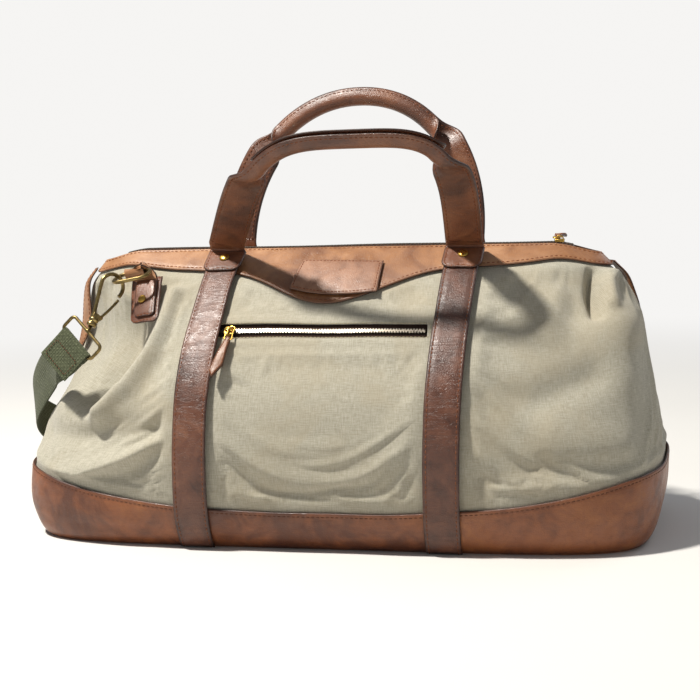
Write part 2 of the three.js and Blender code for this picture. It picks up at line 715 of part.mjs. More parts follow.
// ---------------------------------------------------------------- shoulder strap
// Each end's hook hangs on one side of its ring. The eye is the point that it turns about.
const cornerOfRing = (side) => {
  const reach = RING_BEND * (1 - Math.SQRT1_2);
  return rollPoint
    .clone()
    .addScaledVector(barDirection, side * ((RING_WIDTH - WIRE) / 2 - reach))
    .addScaledVector(ringDown, RING_DEPTH - WIRE - reach);
};
const wireAtCorner = (side) => ringDown.clone().addScaledVector(barDirection, -side).normalize();
const flip = (v) => vec(-v.x, -v.y, v.z);
const ENDS = {
  front: {
    eye: cornerOfRing(-1),
    facing: wireAtCorner(-1),
    down: vec(-0.33, -0.5, -0.8).normalize(),
    loopDown: vec(-0.7, -0.12, -0.7).normalize(),
    loopAcross: vec(0.68, -0.3, -0.68),
  },
  rear: {
    eye: flip(cornerOfRing(1)),
    facing: flip(wireAtCorner(1)),
    down: vec(-0.42, 0.74, -0.52).normalize(),
    loopDown: vec(-0.72, 0.3, -0.62).normalize(),
    loopAcross: vec(-0.62, 0.2, 0.76),
  },
};
for (const end of Object.values(ENDS)) {
  end.facing.addScaledVector(end.down, -end.facing.dot(end.down)).normalize();
  end.across = vec(0, 0, 0).crossVectors(end.facing, end.down);
  end.loopAcross.addScaledVector(end.loopDown, -end.loopAcross.dot(end.loopDown)).normalize();
  end.loopFacing = vec(0, 0, 0).crossVectors(end.loopAcross, end.loopDown);
  end.loopTop = end.eye.clone().addScaledVector(end.down, HOOK_LENGTH + 10);
}

// A hook's wire, from the swivel up one arm and over the eye, and the gate that closes the other arm.
const hookPoint = (end, a, b) => end.eye.clone().addScaledVector(end.across, a).addScaledVector(end.down, b);
const EYE_DROP = 5; // the eye's middle below the ring's wire

function hookBody(end) {
  const points = [hookPoint(end, -2.4, HOOK_LENGTH - 3)];
  for (let k = 0; k <= 8; k++) {
    const angle = Math.PI * (1 - (k * 1.12) / 8);
    points.push(hookPoint(end, HOOK_EYE * Math.cos(angle), EYE_DROP - HOOK_EYE * Math.sin(angle)));
  }
  const wire = sweep(framesIn(end.facing, points), () => circle(WIRE));
  const block = sweep(
    [-4, 4.5].map((d) => ({ at: hookPoint(end, 0, HOOK_LENGTH + d), side: end.across, up: end.facing })),
    () => circle(9, 12),
  );
  const bore = sweep(
    [0, 6].map((d) => ({ at: hookPoint(end, 0, HOOK_LENGTH + d), side: end.across, up: end.facing })),
    () => circle(4.4, 12),
  );
  return cut(join(wire, block), bore);
}

function hookGate(end) {
  const hinge = hookPoint(end, 4.6, HOOK_LENGTH - 7);
  const tip = hookPoint(end, HOOK_EYE + 0.6, EYE_DROP + 7.2);
  return sweep(framesIn(end.facing, [hinge, tip]), () => circle(2.6));
}

// The loop that the webbing is sewn round, with the post that the hook turns on.
function strapLoop(end) {
  const middle = end.loopTop.clone().addScaledVector(end.loopDown, 8);
  const loop = roundedLoop(middle, end.loopAcross, end.loopDown, WEBBING_WIDTH + 5.5, 16, 4);
  const ring = sweep(framesIn(end.loopFacing, loop, true), () => circle(3), true);
  const post = sweep(
    [1.5, 10].map((d) => ({ at: hookPoint(end, 0, HOOK_LENGTH + d), side: end.across, up: end.facing })),
    () => circle(3.4, 10),
  );
  return join(ring, post);
}

// The webbing leaves the front loop, passes round the left end and hangs behind the bag.
const STRAP_CLEAR = 12; // from the body to the middle of the webbing
const onBody = (degrees, z, out = STRAP_CLEAR) => shell(radians(degrees), share(z), out).point;
const fold = (end) => end.loopTop.clone().addScaledVector(end.loopDown, 16 + WEBBING);
const webbingPath = new THREE.CatmullRomCurve3(
  [
    fold(ENDS.front),
    fold(ENDS.front).addScaledVector(ENDS.front.loopDown, 14),
    onBody(212, 136, STRAP_CLEAR + 13),
    onBody(194, 106, STRAP_CLEAR + 5),
    onBody(176, 84),
    onBody(158, 70),
    onBody(142, 64),
    onBody(125, 62),
    vec(-100, 159, 62),
    vec(-65, 159, 62),
    vec(-30, 159, 62),
    vec(0, 159, 62),
    onBody(74, 95, STRAP_CLEAR + 4),
    onBody(66, 130, STRAP_CLEAR + 7),
    fold(ENDS.rear).addScaledVector(ENDS.rear.loopDown, 14),
    fold(ENDS.rear),
  ],
  false,
  "centripetal",
);

const towards = (direction, like) => direction.clone().multiplyScalar(Math.sign(direction.dot(like)));

function webbing() {
  const steps = 44;
  const frames = Array.from({ length: steps + 1 }, (_, i) => {
    const v = i / steps;
    const at = webbingPath.getPointAt(v);
    const along = webbingPath.getTangentAt(v);
    const outward = vec(at.x / 2, at.y * 2, 0).normalize();
    outward.lerp(towards(ENDS.front.loopFacing, vec(0, -1, 0)), Math.max(0, 1 - v * 7));
    outward.lerp(towards(ENDS.rear.loopFacing, vec(0, 1, 0)), Math.max(0, 1 - (1 - v) * 6));
    const side = vec(0, 0, 0).crossVectors(along, outward).normalize();
    return { at, side, up: vec(0, 0, 0).crossVectors(side, along) };
  });
  return sweep(frames, () => rectangle(WEBBING_WIDTH, WEBBING));
}

for (const [name, end] of Object.entries(ENDS)) {
  add(bag, `hook_${name}`, "brass", hookBody(end));
  add(bag, `hook_gate_${name}`, "brass", hookGate(end));
  add(bag, `strap_loop_${name}`, "brass", strapLoop(end));
}
add(bag, "shoulder_webbing", "webbing", webbing());

// The slide that sets the strap's length, on the straight run behind the bag.
function strapSlide() {
  const outer = box(24, 9, WEBBING_WIDTH + 9, 0, 0, 0);
  return cut(outer, box(26, WEBBING + 2.6, WEBBING_WIDTH + 3, 0, 0, 0)).translate(-56, 159, 62);
}
add(bag, "strap_slide", "brass", strapSlide());

export default bag;
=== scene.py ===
"""The looks of a canvas and leather duffel bag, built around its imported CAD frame.

Lengths are in mm until a mesh is made.
"""

import json
import math

import bmesh
import bpy
import numpy as np
from mathutils import Matrix, Vector


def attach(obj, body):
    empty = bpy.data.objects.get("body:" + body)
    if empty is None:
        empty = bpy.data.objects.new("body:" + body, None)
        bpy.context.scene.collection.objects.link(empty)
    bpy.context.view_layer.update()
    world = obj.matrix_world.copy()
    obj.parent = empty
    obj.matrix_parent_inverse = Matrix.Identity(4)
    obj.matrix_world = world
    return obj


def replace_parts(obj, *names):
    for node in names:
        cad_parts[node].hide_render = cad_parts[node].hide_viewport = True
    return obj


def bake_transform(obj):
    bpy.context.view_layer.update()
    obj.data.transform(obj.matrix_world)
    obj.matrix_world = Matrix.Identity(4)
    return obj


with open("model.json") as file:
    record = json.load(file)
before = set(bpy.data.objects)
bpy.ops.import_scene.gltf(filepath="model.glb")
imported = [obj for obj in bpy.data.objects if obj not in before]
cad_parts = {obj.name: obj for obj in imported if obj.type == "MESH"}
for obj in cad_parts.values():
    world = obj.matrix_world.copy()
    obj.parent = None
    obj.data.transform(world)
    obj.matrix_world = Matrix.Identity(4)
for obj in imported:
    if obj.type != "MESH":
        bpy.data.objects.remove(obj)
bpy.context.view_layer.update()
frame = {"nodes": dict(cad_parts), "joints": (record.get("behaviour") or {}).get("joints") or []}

# ---------------- dimensions shared with the frame
GAP, LAYER_GAP, CANVAS, LEATHER, WIRE = 0.3, 1.2, 1.6, 2.4, 3.6
ZIP_Z = 258
STRAP_X, STRAP_WIDTH, TAB_WIDTH = 111, 31, 36
TAB_BOTTOM_Z, CREASE_Z, CREASE_OFFSET = 234, 251, 10.5
HANDLE_WIDTH, HANDLE_RISE = 33, 139
FRONT_DRIFT = 7
# For each side: degrees of lean, the grip's shift, how square and how tapered the arch is, the feet's shift.
HANDLES = {"front": (47, 34, 4, 0.22, FRONT_DRIFT), "rear": (6, -9, 2.1, 0, 0)}
POCKET_Z, POCKET_HALF, POCKET_WINDOW = 190, 95, 10.5
MAIN_CHAIN_HALF, MAIN_SLIDER_X = 214, 200
WEBBING_WIDTH, WEBBING = 38, 2
RING_TAB_X, RING_TAB_Z, RING_TAB_TURN = -172, 211, math.radians(8)
RING_WIDTH, RING_DEPTH, RING_BEND = 37, 25, 8
HOOK_LENGTH, HOOK_EYE, EYE_DROP = 43, 11.5, 5
STRAP_OFFSET = 2 * LAYER_GAP + LEATHER
TAB_OFFSET = STRAP_OFFSET + LEATHER + GAP
PROFILE = [
    [272, 118, 0], [281, 127, 8], [289, 138, 30], [292, 144, 62], [292, 145, 95], [289, 137, 135],
    [282, 117, 170], [272, 90, 200], [260, 62, 226], [247, 34, 245], [234, 12, ZIP_Z],
]
SLACK, SLACK_Z = 0.19, 182
rng = np.random.default_rng(7)


def vec(*xyz):
    return np.array(xyz, float)


def unit(v):
    v = np.asarray(v, float)
    return v / np.maximum(np.linalg.norm(v, axis=-1, keepdims=True), 1e-9)


def spline(points, per_span=24):
    """A centripetal Catmull-Rom curve through the points."""
    p = np.asarray(points, float)
    p = np.vstack([2 * p[0] - p[1], p, 2 * p[-1] - p[-2]])
    out = []
    for a, b, c, d in zip(p, p[1:], p[2:], p[3:]):
        t1 = np.linalg.norm(b - a) ** 0.5
        t2 = t1 + np.linalg.norm(c - b) ** 0.5
        t3 = t2 + np.linalg.norm(d - c) ** 0.5
        t = np.linspace(t1, t2, per_span, endpoint=False)[:, None]
        a1 = (a * (t1 - t) + b * t) / t1
        a2 = (b * (t2 - t) + c * (t - t1)) / (t2 - t1)
        a3 = (c * (t3 - t) + d * (t - t2)) / (t3 - t2)
        b1 = (a1 * (t2 - t) + a2 * t) / t2
        b2 = (a2 * (t3 - t) + a3 * (t - t1)) / (t3 - t1)
        out.append((b1 * (t2 - t) + b2 * (t - t1)) / (t2 - t1))
    return np.vstack(out + [p[-2]])


def run_along(points):
    """The distance of each point from the first, along a polyline."""
    return np.r_[0, np.cumsum(np.linalg.norm(np.diff(points, axis=0), axis=1))]


def resample(points, count):
    """Evenly spaced points along a polyline."""
    steps = run_along(points)
    at = np.linspace(0, steps[-1], count)
    return np.stack([np.interp(at, steps, points[:, k]) for k in range(points.shape[1])], -1)


# ---------------- the body's surface
CURVE = spline(PROFILE)
CURVE_RUN = run_along(CURVE)
LENGTH = CURVE_RUN[-1]
CURVE_S = CURVE_RUN / LENGTH


def share(z):
    """The share of the profile's length, from 0 at the ground to 1 at the zip, at a height."""
    return np.interp(z, CURVE[:, 2], CURVE_S)


def footprint(s):
    """The half axes, the height and the exponent of the body's section at a share."""
    s = np.clip(s, 0, 1)
    a, b, z = (np.interp(s, CURVE_S, CURVE[:, k]) for k in range(3))
    return a, b, z, 3 + 3 * np.exp(-z / 50)


def slack(angle, z):
    """The slack corner at the front left, where the outline is drawn in."""
    towards = np.abs(np.cos(angle - math.radians(208))) ** 7
    return 1 - SLACK * towards * np.exp(-(((z - SLACK_Z) / 50) ** 2))


def body(angle, s):
    """Points of the smooth body at angles round Z and shares of the profile."""
    a, b, z, n = footprint(s)
    c, q = np.cos(angle), np.sin(angle)
    r = (np.abs(c) ** n + np.abs(q) ** n) ** (-1 / n) * slack(angle, z)
    return np.stack(np.broadcast_arrays(a * r * c, b * r * q, z), -1)


def normal(angle, s):
    e = 2e-3
    around = body(angle + e, s) - body(angle - e, s)
    up = body(angle, np.minimum(s + e, 1)) - body(angle, np.maximum(s - e, 0))
    return unit(np.cross(around, up))


def facing(x, s):
    """The angle at which the front of the body has a given x."""
    a, _, z, n = footprint(s)
    angle = np.full(np.broadcast(x, s).shape, -math.pi / 2)
    for _ in range(14):
        k = x / (a * slack(angle, z))
        angle = np.arctan2(-(np.maximum(1 - np.abs(k) ** n, 0) ** (1 / n)), k)
    return angle


def base_edge_z(x):
    return 37 + 31 * (np.abs(x) / 290) ** 2.5


def yoke_edge_z(x):
    return 239 - 28 * np.exp(-((x / 62) ** 2)) + 6 * np.exp(-(((np.abs(x) - 215) / 45) ** 2))


def smooth(low, high, x):
    t = np.clip((x - low) / (high - low), 0, 1)
    return t * t * (3 - 2 * t)


WAVES = [(rng.normal(size=3), rng.uniform(0, 6.3), rng.uniform(70, 210)) for _ in range(9)]


def ripple(p):
    """The slow unevenness that every layer of the filled bag shares."""
    out = sum(np.sin((p @ unit(d)) * 2 * math.pi / length + phase) for d, phase, length in WAVES)
    return 0.42 * out * smooth(4, 40, p[..., 2]) * (1 - smooth(222, 246, p[..., 2]))


def end_bulge(p):
    """The right end is pushed out above the middle."""
    return 9 * smooth(215, 262, p[..., 0]) * np.exp(-(((p[..., 2] - 194) / 26) ** 2))


def droop(x):
    """The crest sinks towards both ends."""
    return 9 * smooth(192, 246, np.abs(x))


def on_body(angle, s, out=0.0):
    """Points at a height over the filled bag, with all that its layers share."""
    p = body(angle, s)
    p = p + normal(angle, s) * (np.asarray(out) + ripple(p) + end_bulge(p))[..., None]
    p[..., 2] -= droop(p[..., 0]) * smooth(222, 256, p[..., 2])
    p[..., 2] = np.maximum(p[..., 2], 0)
    return p


SMALL_FOLD, REAR_SMALL_FOLDS = 6.5, 0.4
# Folds of the canvas: a line on the body, the fold's width and its height, which is negative for a hollow.
FOLDS = [
    ([(-196, -72, 196), (-203, -88, 168), (-216, -98, 140)], 23, -20),
    ([(-146, -60, 218), (-150, -85, 190), (-158, -101, 168), (-176, -115, 143), (-206, -120, 121)], 10, 13),
    ([(-128, -75, 214), (-130, -100, 186), (-134, -118, 160)], 8, -4),
    ([(-232, -96, 134), (-246, -84, 122)], 17, 6),
    ([(-262, -84, 92), (-222, -118, 96), (-184, -132, 101), (-150, -139, 108)], 13, -13),
    ([(-289, -40, 66), (-262, -95, 64), (-222, -126, 67), (-178, -136, 81), (-148, -140, 94)], 8, 8),
    ([(-228, -34, 228), (-240, -34, 208)], 8, -10),
    ([(-238, -16, 230), (-252, -14, 212)], 7, 8),
    ([(-208, -50, 224), (-186, -72, 206)], 6, 5),
    ([(231, -28, 240), (233, -46, 221), (236, -60, 198)], 5.5, -17),
    ([(218, -44, 228), (220, -66, 206)], 15, -5),
    ([(248, -20, 236), (245, -34, 226), (246, -46, 206)], 7, 11),
    ([(206, -58, 222), (200, -92, 190)], 12, 4),
    ([(262, -60, 186), (270, -82, 156)], 24, 5),
    ([(205, -128, 100), (262, -108, 92)], 22, 5),
    ([(140, -133, 140), (190, -122, 132), (236, -98, 150)], 15, -6),
    ([(146, -137, 70), (200, -132, 78), (258, -104, 72)], 11, -5),
    ([(-86, -132, 146), (-30, -139, 128), (60, -137, 136)], 13, -4),
    ([(-88, -118, 172), (-60, -133, 146)], 7, 3),
    ([(88, -120, 168), (70, -134, 140)], 8, -3.2),
    ([(84, -140, 66), (20, -143, 60), (-80, -140, 64)], 12, -3),
    ([(-84, -138, 104), (-40, -142, 92), (20, -142, 96)], 10, 2.4),
]


def near_line(p, line):
    """The distance of points from a polyline."""
    best = np.full(p.shape[:-1], 1e9)
    line = np.asarray(line, float)
    for a, b in zip(line, line[1:]):
        ab = b - a
        t = np.clip(((p - a) @ ab) / (ab @ ab), 0, 1)[..., None]
        best = np.minimum(best, np.linalg.norm(p - a - t * ab, axis=-1))
    return best


def loose(p):
    """1 where the canvas is free to fold and 0 where leather is sewn over it."""
    x, z = p[..., 0], p[..., 2]
    free = smooth(0, 14, z - base_edge_z(x)) * smooth(0, 9, yoke_edge_z(x) - z)
    tail = smooth(222, 238, np.abs(x)) * smooth(150, 165, z) * (1 - smooth(9, 24, np.abs(p[..., 1])))
    free = free * (1 - tail)
    along = np.where(p[..., 1] < 0, x - FRONT_DRIFT * z / 260, x)
    return free * smooth(STRAP_WIDTH / 2, STRAP_WIDTH / 2 + 17, np.abs(np.abs(along) - STRAP_X))


def deepest(p):
    """How far inwards the canvas may go: less in front of the pouch."""
    pouch = (1 - smooth(100, 112, np.abs(p[..., 0]))) * smooth(60, 76, p[..., 2]) * (p[..., 1] < 0)
    return -26 + 23.5 * pouch


def folds(p):
    """The height of all folds at points of the body; the rear repeats the front's, turned about."""
    here = np.zeros(p.shape[:-1])
    for turn in (1, -1):
        q = p * vec(turn, turn, 1)
        for line, width, height in FOLDS:
            weight = REAR_SMALL_FOLDS if turn < 0 and abs(height) < SMALL_FOLD else 1
            here += height * weight * np.exp(-((near_line(q, line) / width) ** 2))
    here = np.maximum(here, deepest(p))
    beside = np.maximum(np.abs(p[..., 0]) - POCKET_HALF, 0)
    pocket = np.exp(-((beside / 12) ** 2) - ((p[..., 2] - POCKET_Z) / 16) ** 2)
    return here * loose(p) * (1 - pocket * (p[..., 1] < 0))


# ---------------- node materials
def node(tree, kind, inputs=None, **settings):
    n = tree.nodes.new("ShaderNode" + kind)
    for key, value in settings.items():
        setattr(n, key, value)
    for key, value in (inputs or {}).items():
        if isinstance(value, bpy.types.NodeSocket):
            tree.links.new(value, n.inputs[key])
        else:
            n.inputs[key].default_value = value
    return n


def rgb(text):
    """A linear colour from a hex sRGB one."""
    parts = [int(text[i : i + 2], 16) / 255 for i in (0, 2, 4)]
    return tuple(c / 12.92 if c < 0.04045 else ((c + 0.055) / 1.055) ** 2.4 for c in parts) + (1,)


class Look:
    """A material in the making: its node tree, its shader and short names for the usual nodes."""

    def __init__(self, name, coordinates="Object", **shader):
        self.material = bpy.data.materials.new(name)
        self.material.use_nodes = True
        self.tree = self.material.node_tree
        self.bsdf = self.tree.nodes["Principled BSDF"]
        self.at = node(self.tree, "TexCoord").outputs[coordinates]
        for key, value in shader.items():
            self.bsdf.inputs[key.replace("_", " ")].default_value = value

    def noise(self, scale, detail=4, rough=0.55, distort=0.0, at=None):
        inputs = {"Vector": at or self.at, "Scale": scale, "Detail": detail, "Roughness": rough}
        return node(self.tree, "TexNoise", {**inputs, "Distortion": distort}).outputs["Fac"]

    def stretch(self, x, y, z):
        return node(self.tree, "Mapping", {"Vector": self.at, "Scale": (x, y, z)}).outputs[0]

    def math(self, operation, a, b=0.0):
        return node(self.tree, "Math", {0: a, 1: b}, operation=operation).outputs[0]

    def times(self, a, b):
        return self.math("MULTIPLY", a, b)

    def plus(self, a, b):
        return self.math("ADD", a, b)

    def span(self, value, low, high, to_low=0.0, to_high=1.0):
        inputs = {"Value": value, "From Min": low, "From Max": high, "To Min": to_low, "To Max": to_high}
        return node(self.tree, "MapRange", inputs, interpolation_type="SMOOTHSTEP").outputs[0]

    def mix(self, share_, a, b, blend="MIX"):
        return node(self.tree, "Mix", {0: share_, 6: a, 7: b}, data_type="RGBA", blend_type=blend).outputs[2]

    def attribute(self, name):
        return node(self.tree, "Attribute", attribute_name=name).outputs["Fac"]

    def link(self, value, name):
        self.tree.links.new(value, self.bsdf.inputs[name])

    def bump(self, *layers):
        """Each layer is a height from 0 to 1, its depth in mm and its strength."""
        last = None
        for height, depth, strength in layers:
            inputs = {"Height": height, "Distance": depth / 1000, "Strength": strength}
            if last:
                inputs["Normal"] = last
            last = node(self.tree, "Bump", inputs).outputs[0]
        self.link(last, "Normal")


def leather(name, deep, mid, pale, pull=0.5, size=1.0, rough=0.5, creases=0.35):
    """Waxed pull-up leather: cloudy colour, paler where it was bent, pores, fine creases and dark rims."""
    look = Look(name, Specular_IOR_Level=0.5, Coat_Weight=0.2, Coat_Roughness=0.42)
    cloud = look.noise(11 * size, 4, 0.6, 0.8)
    patch = look.noise(34 * size, 6, 0.62, 1.2)
    scuff = look.noise(95 * size, 5, 0.7, 0.4)
    both = look.plus(look.times(cloud, 0.65), look.times(patch, 0.35))
    colour = look.mix(look.span(both, 0.38, 0.56), rgb(deep), rgb(mid))
    bent = look.times(look.span(both, 0.5, 0.68), look.span(scuff, 0.3, 0.62))
    colour = look.mix(look.times(bent, pull), colour, rgb(pale))
    fold = look.noise(60, 3, 0.6, 2.2, at=look.stretch(0.35, 0.35, 2.6))
    off = look.math("ABSOLUTE", look.math("SUBTRACT", fold, 0.5))
    line = look.math("SUBTRACT", 1.0, look.span(off, 0.0, 0.035))
    colour = look.mix(look.times(line, creases * 0.55), colour, rgb(deep))
    rim = look.span(look.attribute("rim"), 0.35, 1.0, 0.0, 0.55)
    colour = look.mix(rim, colour, rgb(deep), "MULTIPLY")
    look.link(colour, "Base Color")
    look.link(look.span(scuff, 0.25, 0.75, rough - 0.13, rough + 0.16), "Roughness")
    cells = node(look.tree, "TexVoronoi", {"Vector": look.at, "Scale": 620.0}, feature="DISTANCE_TO_EDGE")
    pores = look.span(cells.outputs[0], 0.0, 0.3)
    grain = look.noise(480, 3, 0.6)
    look.bump((patch, 1.1, 0.35), (line, -0.35, creases), (pores, 0.16, 0.5), (grain, 0.14, 0.5))
    return look.material


def woven(name, light, dark, pitch, ribs=(1.0, 1.0), shade=None, fuzz=0.3, sheen=0.25, patches=0.5):
    """A plain weave along the mesh's own UV map, in mm, with slubs, large cloudy patches of a third colour
    and a little fuzz.
    """
    look = Look(name, "UV", Roughness=0.93, Specular_IOR_Level=0.2, Sheen_Weight=sheen, Sheen_Roughness=0.5)
    warp = look.noise(0.12, 2, 0.5)
    parts = node(look.tree, "SeparateXYZ", {0: look.at}).outputs
    drift = look.times(warp, 1.6)
    rows = [look.plus(parts[k], drift) for k in (0, 1)]
    wave = [look.math("SINE", look.times(rows[k], math.pi / pitch)) for k in (0, 1)]
    crossing = look.times(wave[0], wave[1])
    rib = [look.times(look.math("ABSOLUTE", wave[k]), ribs[k]) for k in (0, 1)]
    under = look.times(crossing, -1.0)
    over = look.math("MAXIMUM", look.times(crossing, rib[0]), look.times(under, rib[1]))
    slub_x = look.noise(0.5, 3, 0.6, at=look.stretch(0.22, 2.2, 1))
    slub_y = look.noise(0.5, 3, 0.6, at=look.stretch(2.2, 0.22, 1))
    slub = look.plus(look.times(slub_x, 0.5), look.times(slub_y, 0.5))
    speck = look.noise(1.1, 4, 0.7)
    tone = look.plus(look.times(look.span(slub, 0.3, 0.7), 0.55), look.times(over, 0.45))
    colour = look.mix(tone, rgb(dark), rgb(light))
    if shade:
        cloud = look.noise(0.011, 4, 0.6, 0.7)
        colour = look.mix(look.span(cloud, 0.42, 0.66, 0.0, patches), colour, rgb(shade))
    colour = look.mix(look.span(speck, 0.42, 0.7, 0.0, fuzz), colour, rgb(dark))
    look.link(colour, "Base Color")
    uneven = look.noise(0.06, 3, 0.6)
    look.bump((uneven, 1.5, 0.25), (slub, 0.5, 0.35), (over, 0.5 * pitch, 0.5), (speck, 0.35, 0.45))
    return look.material


def metal(name, bright, dull, rough=0.32, age=0.5):
    """Brass or zinc with cloudy tarnish and fine scratches."""
    look = Look(name, Metallic=1.0)
    tarnish = look.noise(120, 5, 0.65, 0.3)
    fine = look.noise(900, 3, 0.6)
    worn = look.span(tarnish, 0.35, 0.68, 0.0, age)
    look.link(look.mix(worn, rgb(bright), rgb(dull)), "Base Color")
    look.link(look.span(tarnish, 0.3, 0.75, rough, rough + 0.22), "Roughness")
    look.bump((fine, 0.05, 0.3), (tarnish, 0.12, 0.3))
    return look.material


def plain(name, colour, other, scale, rough=0.6, depth=0.2):
    """Painted edges, threads and boards."""
    look = Look(name, Roughness=rough, Specular_IOR_Level=0.35)
    cloud = look.noise(scale, 4, 0.6)
    look.link(look.mix(look.span(cloud, 0.35, 0.68), rgb(colour), rgb(other)), "Base Color")
    look.link(look.span(cloud, 0.3, 0.7, rough - 0.1, rough + 0.1), "Roughness")
    look.bump((cloud, depth, 0.4))
    return look.material


LOOKS = {
    "canvas": woven("canvas_weave", "cfcaba", "918b79", 0.9, shade="ab9e84", fuzz=0.3, patches=0.4),
    "lining": woven("lining_weave", "b5a788", "8d7f62", 0.6),
    "tape": woven("zip_tape_weave", "4a352a", "2a1b14", 0.6, ribs=(0.3, 1.0), fuzz=0.15, sheen=0.1),
    "webbing": woven("webbing_weave", "6d7257", "343827", 2.3, ribs=(0.2, 1.0), shade="575c45", fuzz=0.2,
                     sheen=0.08),
    "base": leather("base_leather_look", "562c17", "824a27", "b0713f", 0.5, 1.0, 0.46, 0.3),
    "strap": leather("strap_leather_look", "3d2218", "5f3827", "8a5c43", 0.6, 1.2, 0.42, 0.45),
    "tan": leather("tan_leather_look", "704528", "a07049", "d0a681", 0.8, 0.55, 0.42, 0.2),
    "label": leather("label_leather_look", "7d563f", "976d53", "b58c72", 0.5, 1.6, 0.46, 0.15),
    "handle": leather("handle_leather_look", "43261a", "70432b", "a06c47", 0.6, 0.8, 0.4, 0.3),
    "edge": plain("painted_edge", "2b1a14", "3d261b", 300, 0.5),
    "thread": plain("tan_thread", "8c5334", "5f3520", 1500, 0.8, 0.1),
    "thread_dark": plain("brown_thread", "6a4029", "452817", 1500, 0.8, 0.1),
    "thread_pale": plain("canvas_thread", "c9bd9c", "9f9272", 1500, 0.8, 0.1),
    "brass": metal("brass_cap", "d0a955", "86662d", 0.24, 0.5),
    "antique": metal("antique_brass", "a38d5d", "4a3f28", 0.27, 0.8),
    "teeth": metal("zip_teeth_metal", "b9b0a2", "5f564a", 0.26, 0.6),
    "board": plain("stiffener", "3b3a38", "2c2b29", 200, 0.8),
}


# ---------------- meshes
def make(name, points, faces, looks, rides="root", part=None, slots=None, uv=None, rim=None):
    """A mesh object from points in mm, riding on a body and standing for a part of the frame."""
    mesh = bpy.data.meshes.new(name)
    points = np.asarray(points, float).reshape(-1, 3) / 1000
    mesh.from_pydata(points.tolist(), [], [[int(i) for i in f] for f in faces])
    for look in looks:
        mesh.materials.append(LOOKS[look])
    if slots is not None:
        mesh.polygons.foreach_set("material_index", np.asarray(slots, np.int32))
    if uv is not None:
        loops = np.zeros(len(mesh.loops), np.int32)
        mesh.loops.foreach_get("vertex_index", loops)
        corners = np.asarray(uv, float).reshape(-1, 2)[loops]
        mesh.uv_layers.new(name="UVMap").data.foreach_set("uv", corners.ravel())
    if rim is not None:
        darker = mesh.attributes.new("rim", "FLOAT", "POINT")
        darker.data.foreach_set("value", np.asarray(rim, np.float32).ravel())
    mesh.polygons.foreach_set("use_smooth", [True] * len(mesh.polygons))
    mesh.update()
    obj = bpy.data.objects.new(name, mesh)
    bpy.context.scene.collection.objects.link(obj)
    if rides:
        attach(obj, rides)
    if part:
        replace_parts(obj, part)
    return obj


def quads(rows, columns, ring=False, start=0, turned=False):
    """Faces of a grid of rows x columns points."""
    wide = columns if ring else columns - 1
    j, i = np.meshgrid(np.arange(rows - 1), np.arange(wide), indexing="ij")
    a, b = j * columns + i, j * columns + (i + 1) % columns
    f = np.stack([a, b, b + columns, a + columns], -1).reshape(-1, 4) + start
    return f[:, ::-1] if turned else f


# The distances from a border, in mm, of the lines that carry its rim and its seam.
NEAR = (0, 0.5, 1.2, 2.3, 3.3, 4.4)


def spaced(length, count):
    """Parameters from 0 to 1 with extra lines close to both ends, for rims and seams."""
    near = np.array(NEAR) / length
    return np.r_[near[:-1], np.linspace(near[-1], 1 - near[-1], count), 1 - near[:-1][::-1]]


def stitch_path(place, u, v, out, name, pitch=4.3, size=2.9, radius=0.42):
    """Adds a row of stitches along parameters of a surface to a named collection."""
    p, q = place(u, v, out), place(u, v, np.asarray(out) + 1)
    stitch_row(p, q - p, name, pitch, size, radius)


THREADS = {}


def stitch_row(p, normals, name, pitch=4.3, size=2.9, radius=0.42):
    """Adds evenly spaced stitches along a line to the threads of a body."""
    run = np.linalg.norm(np.diff(p, axis=0), axis=1).sum()
    count = int(run / pitch)
    if count < 2:
        return
    both = resample(np.hstack([p, unit(normals)]), 2 * count + 1)
    c, n = both[1::2, :3], unit(both[1::2, 3:])
    t = unit(both[2::2, :3] - both[:-1:2, :3])
    s = np.cross(n, t)
    rings = []
    for along, wide, lift in [(-0.5, 0.3, 0.0), (-0.3, 1, 0.5), (0.3, 1, 0.5), (0.5, 0.3, 0.0)]:
        for k in range(6):
            a = k * math.pi / 3
            spoke = s * math.cos(a) * wide * radius + n * (math.sin(a) * wide + lift) * radius
            rings.append(c + t * along * size + spoke)
    THREADS.setdefault(name, []).append(np.stack(rings, 1))


def sew_threads():
    """One mesh of stitches for each body and thread."""
    one = quads(4, 6, ring=True).tolist() + [[5, 4, 3, 2, 1, 0], [18, 19, 20, 21, 22, 23]]
    for (rides, look), parts in THREADS.items():
        p = np.concatenate(parts)
        every = [[i + 24 * k for i in f] for k in range(len(p)) for f in one]
        label = f"stitches_{look}_{rides}" if rides != "root" else f"stitches_{look}"
        make(label, p, every, [look], rides)


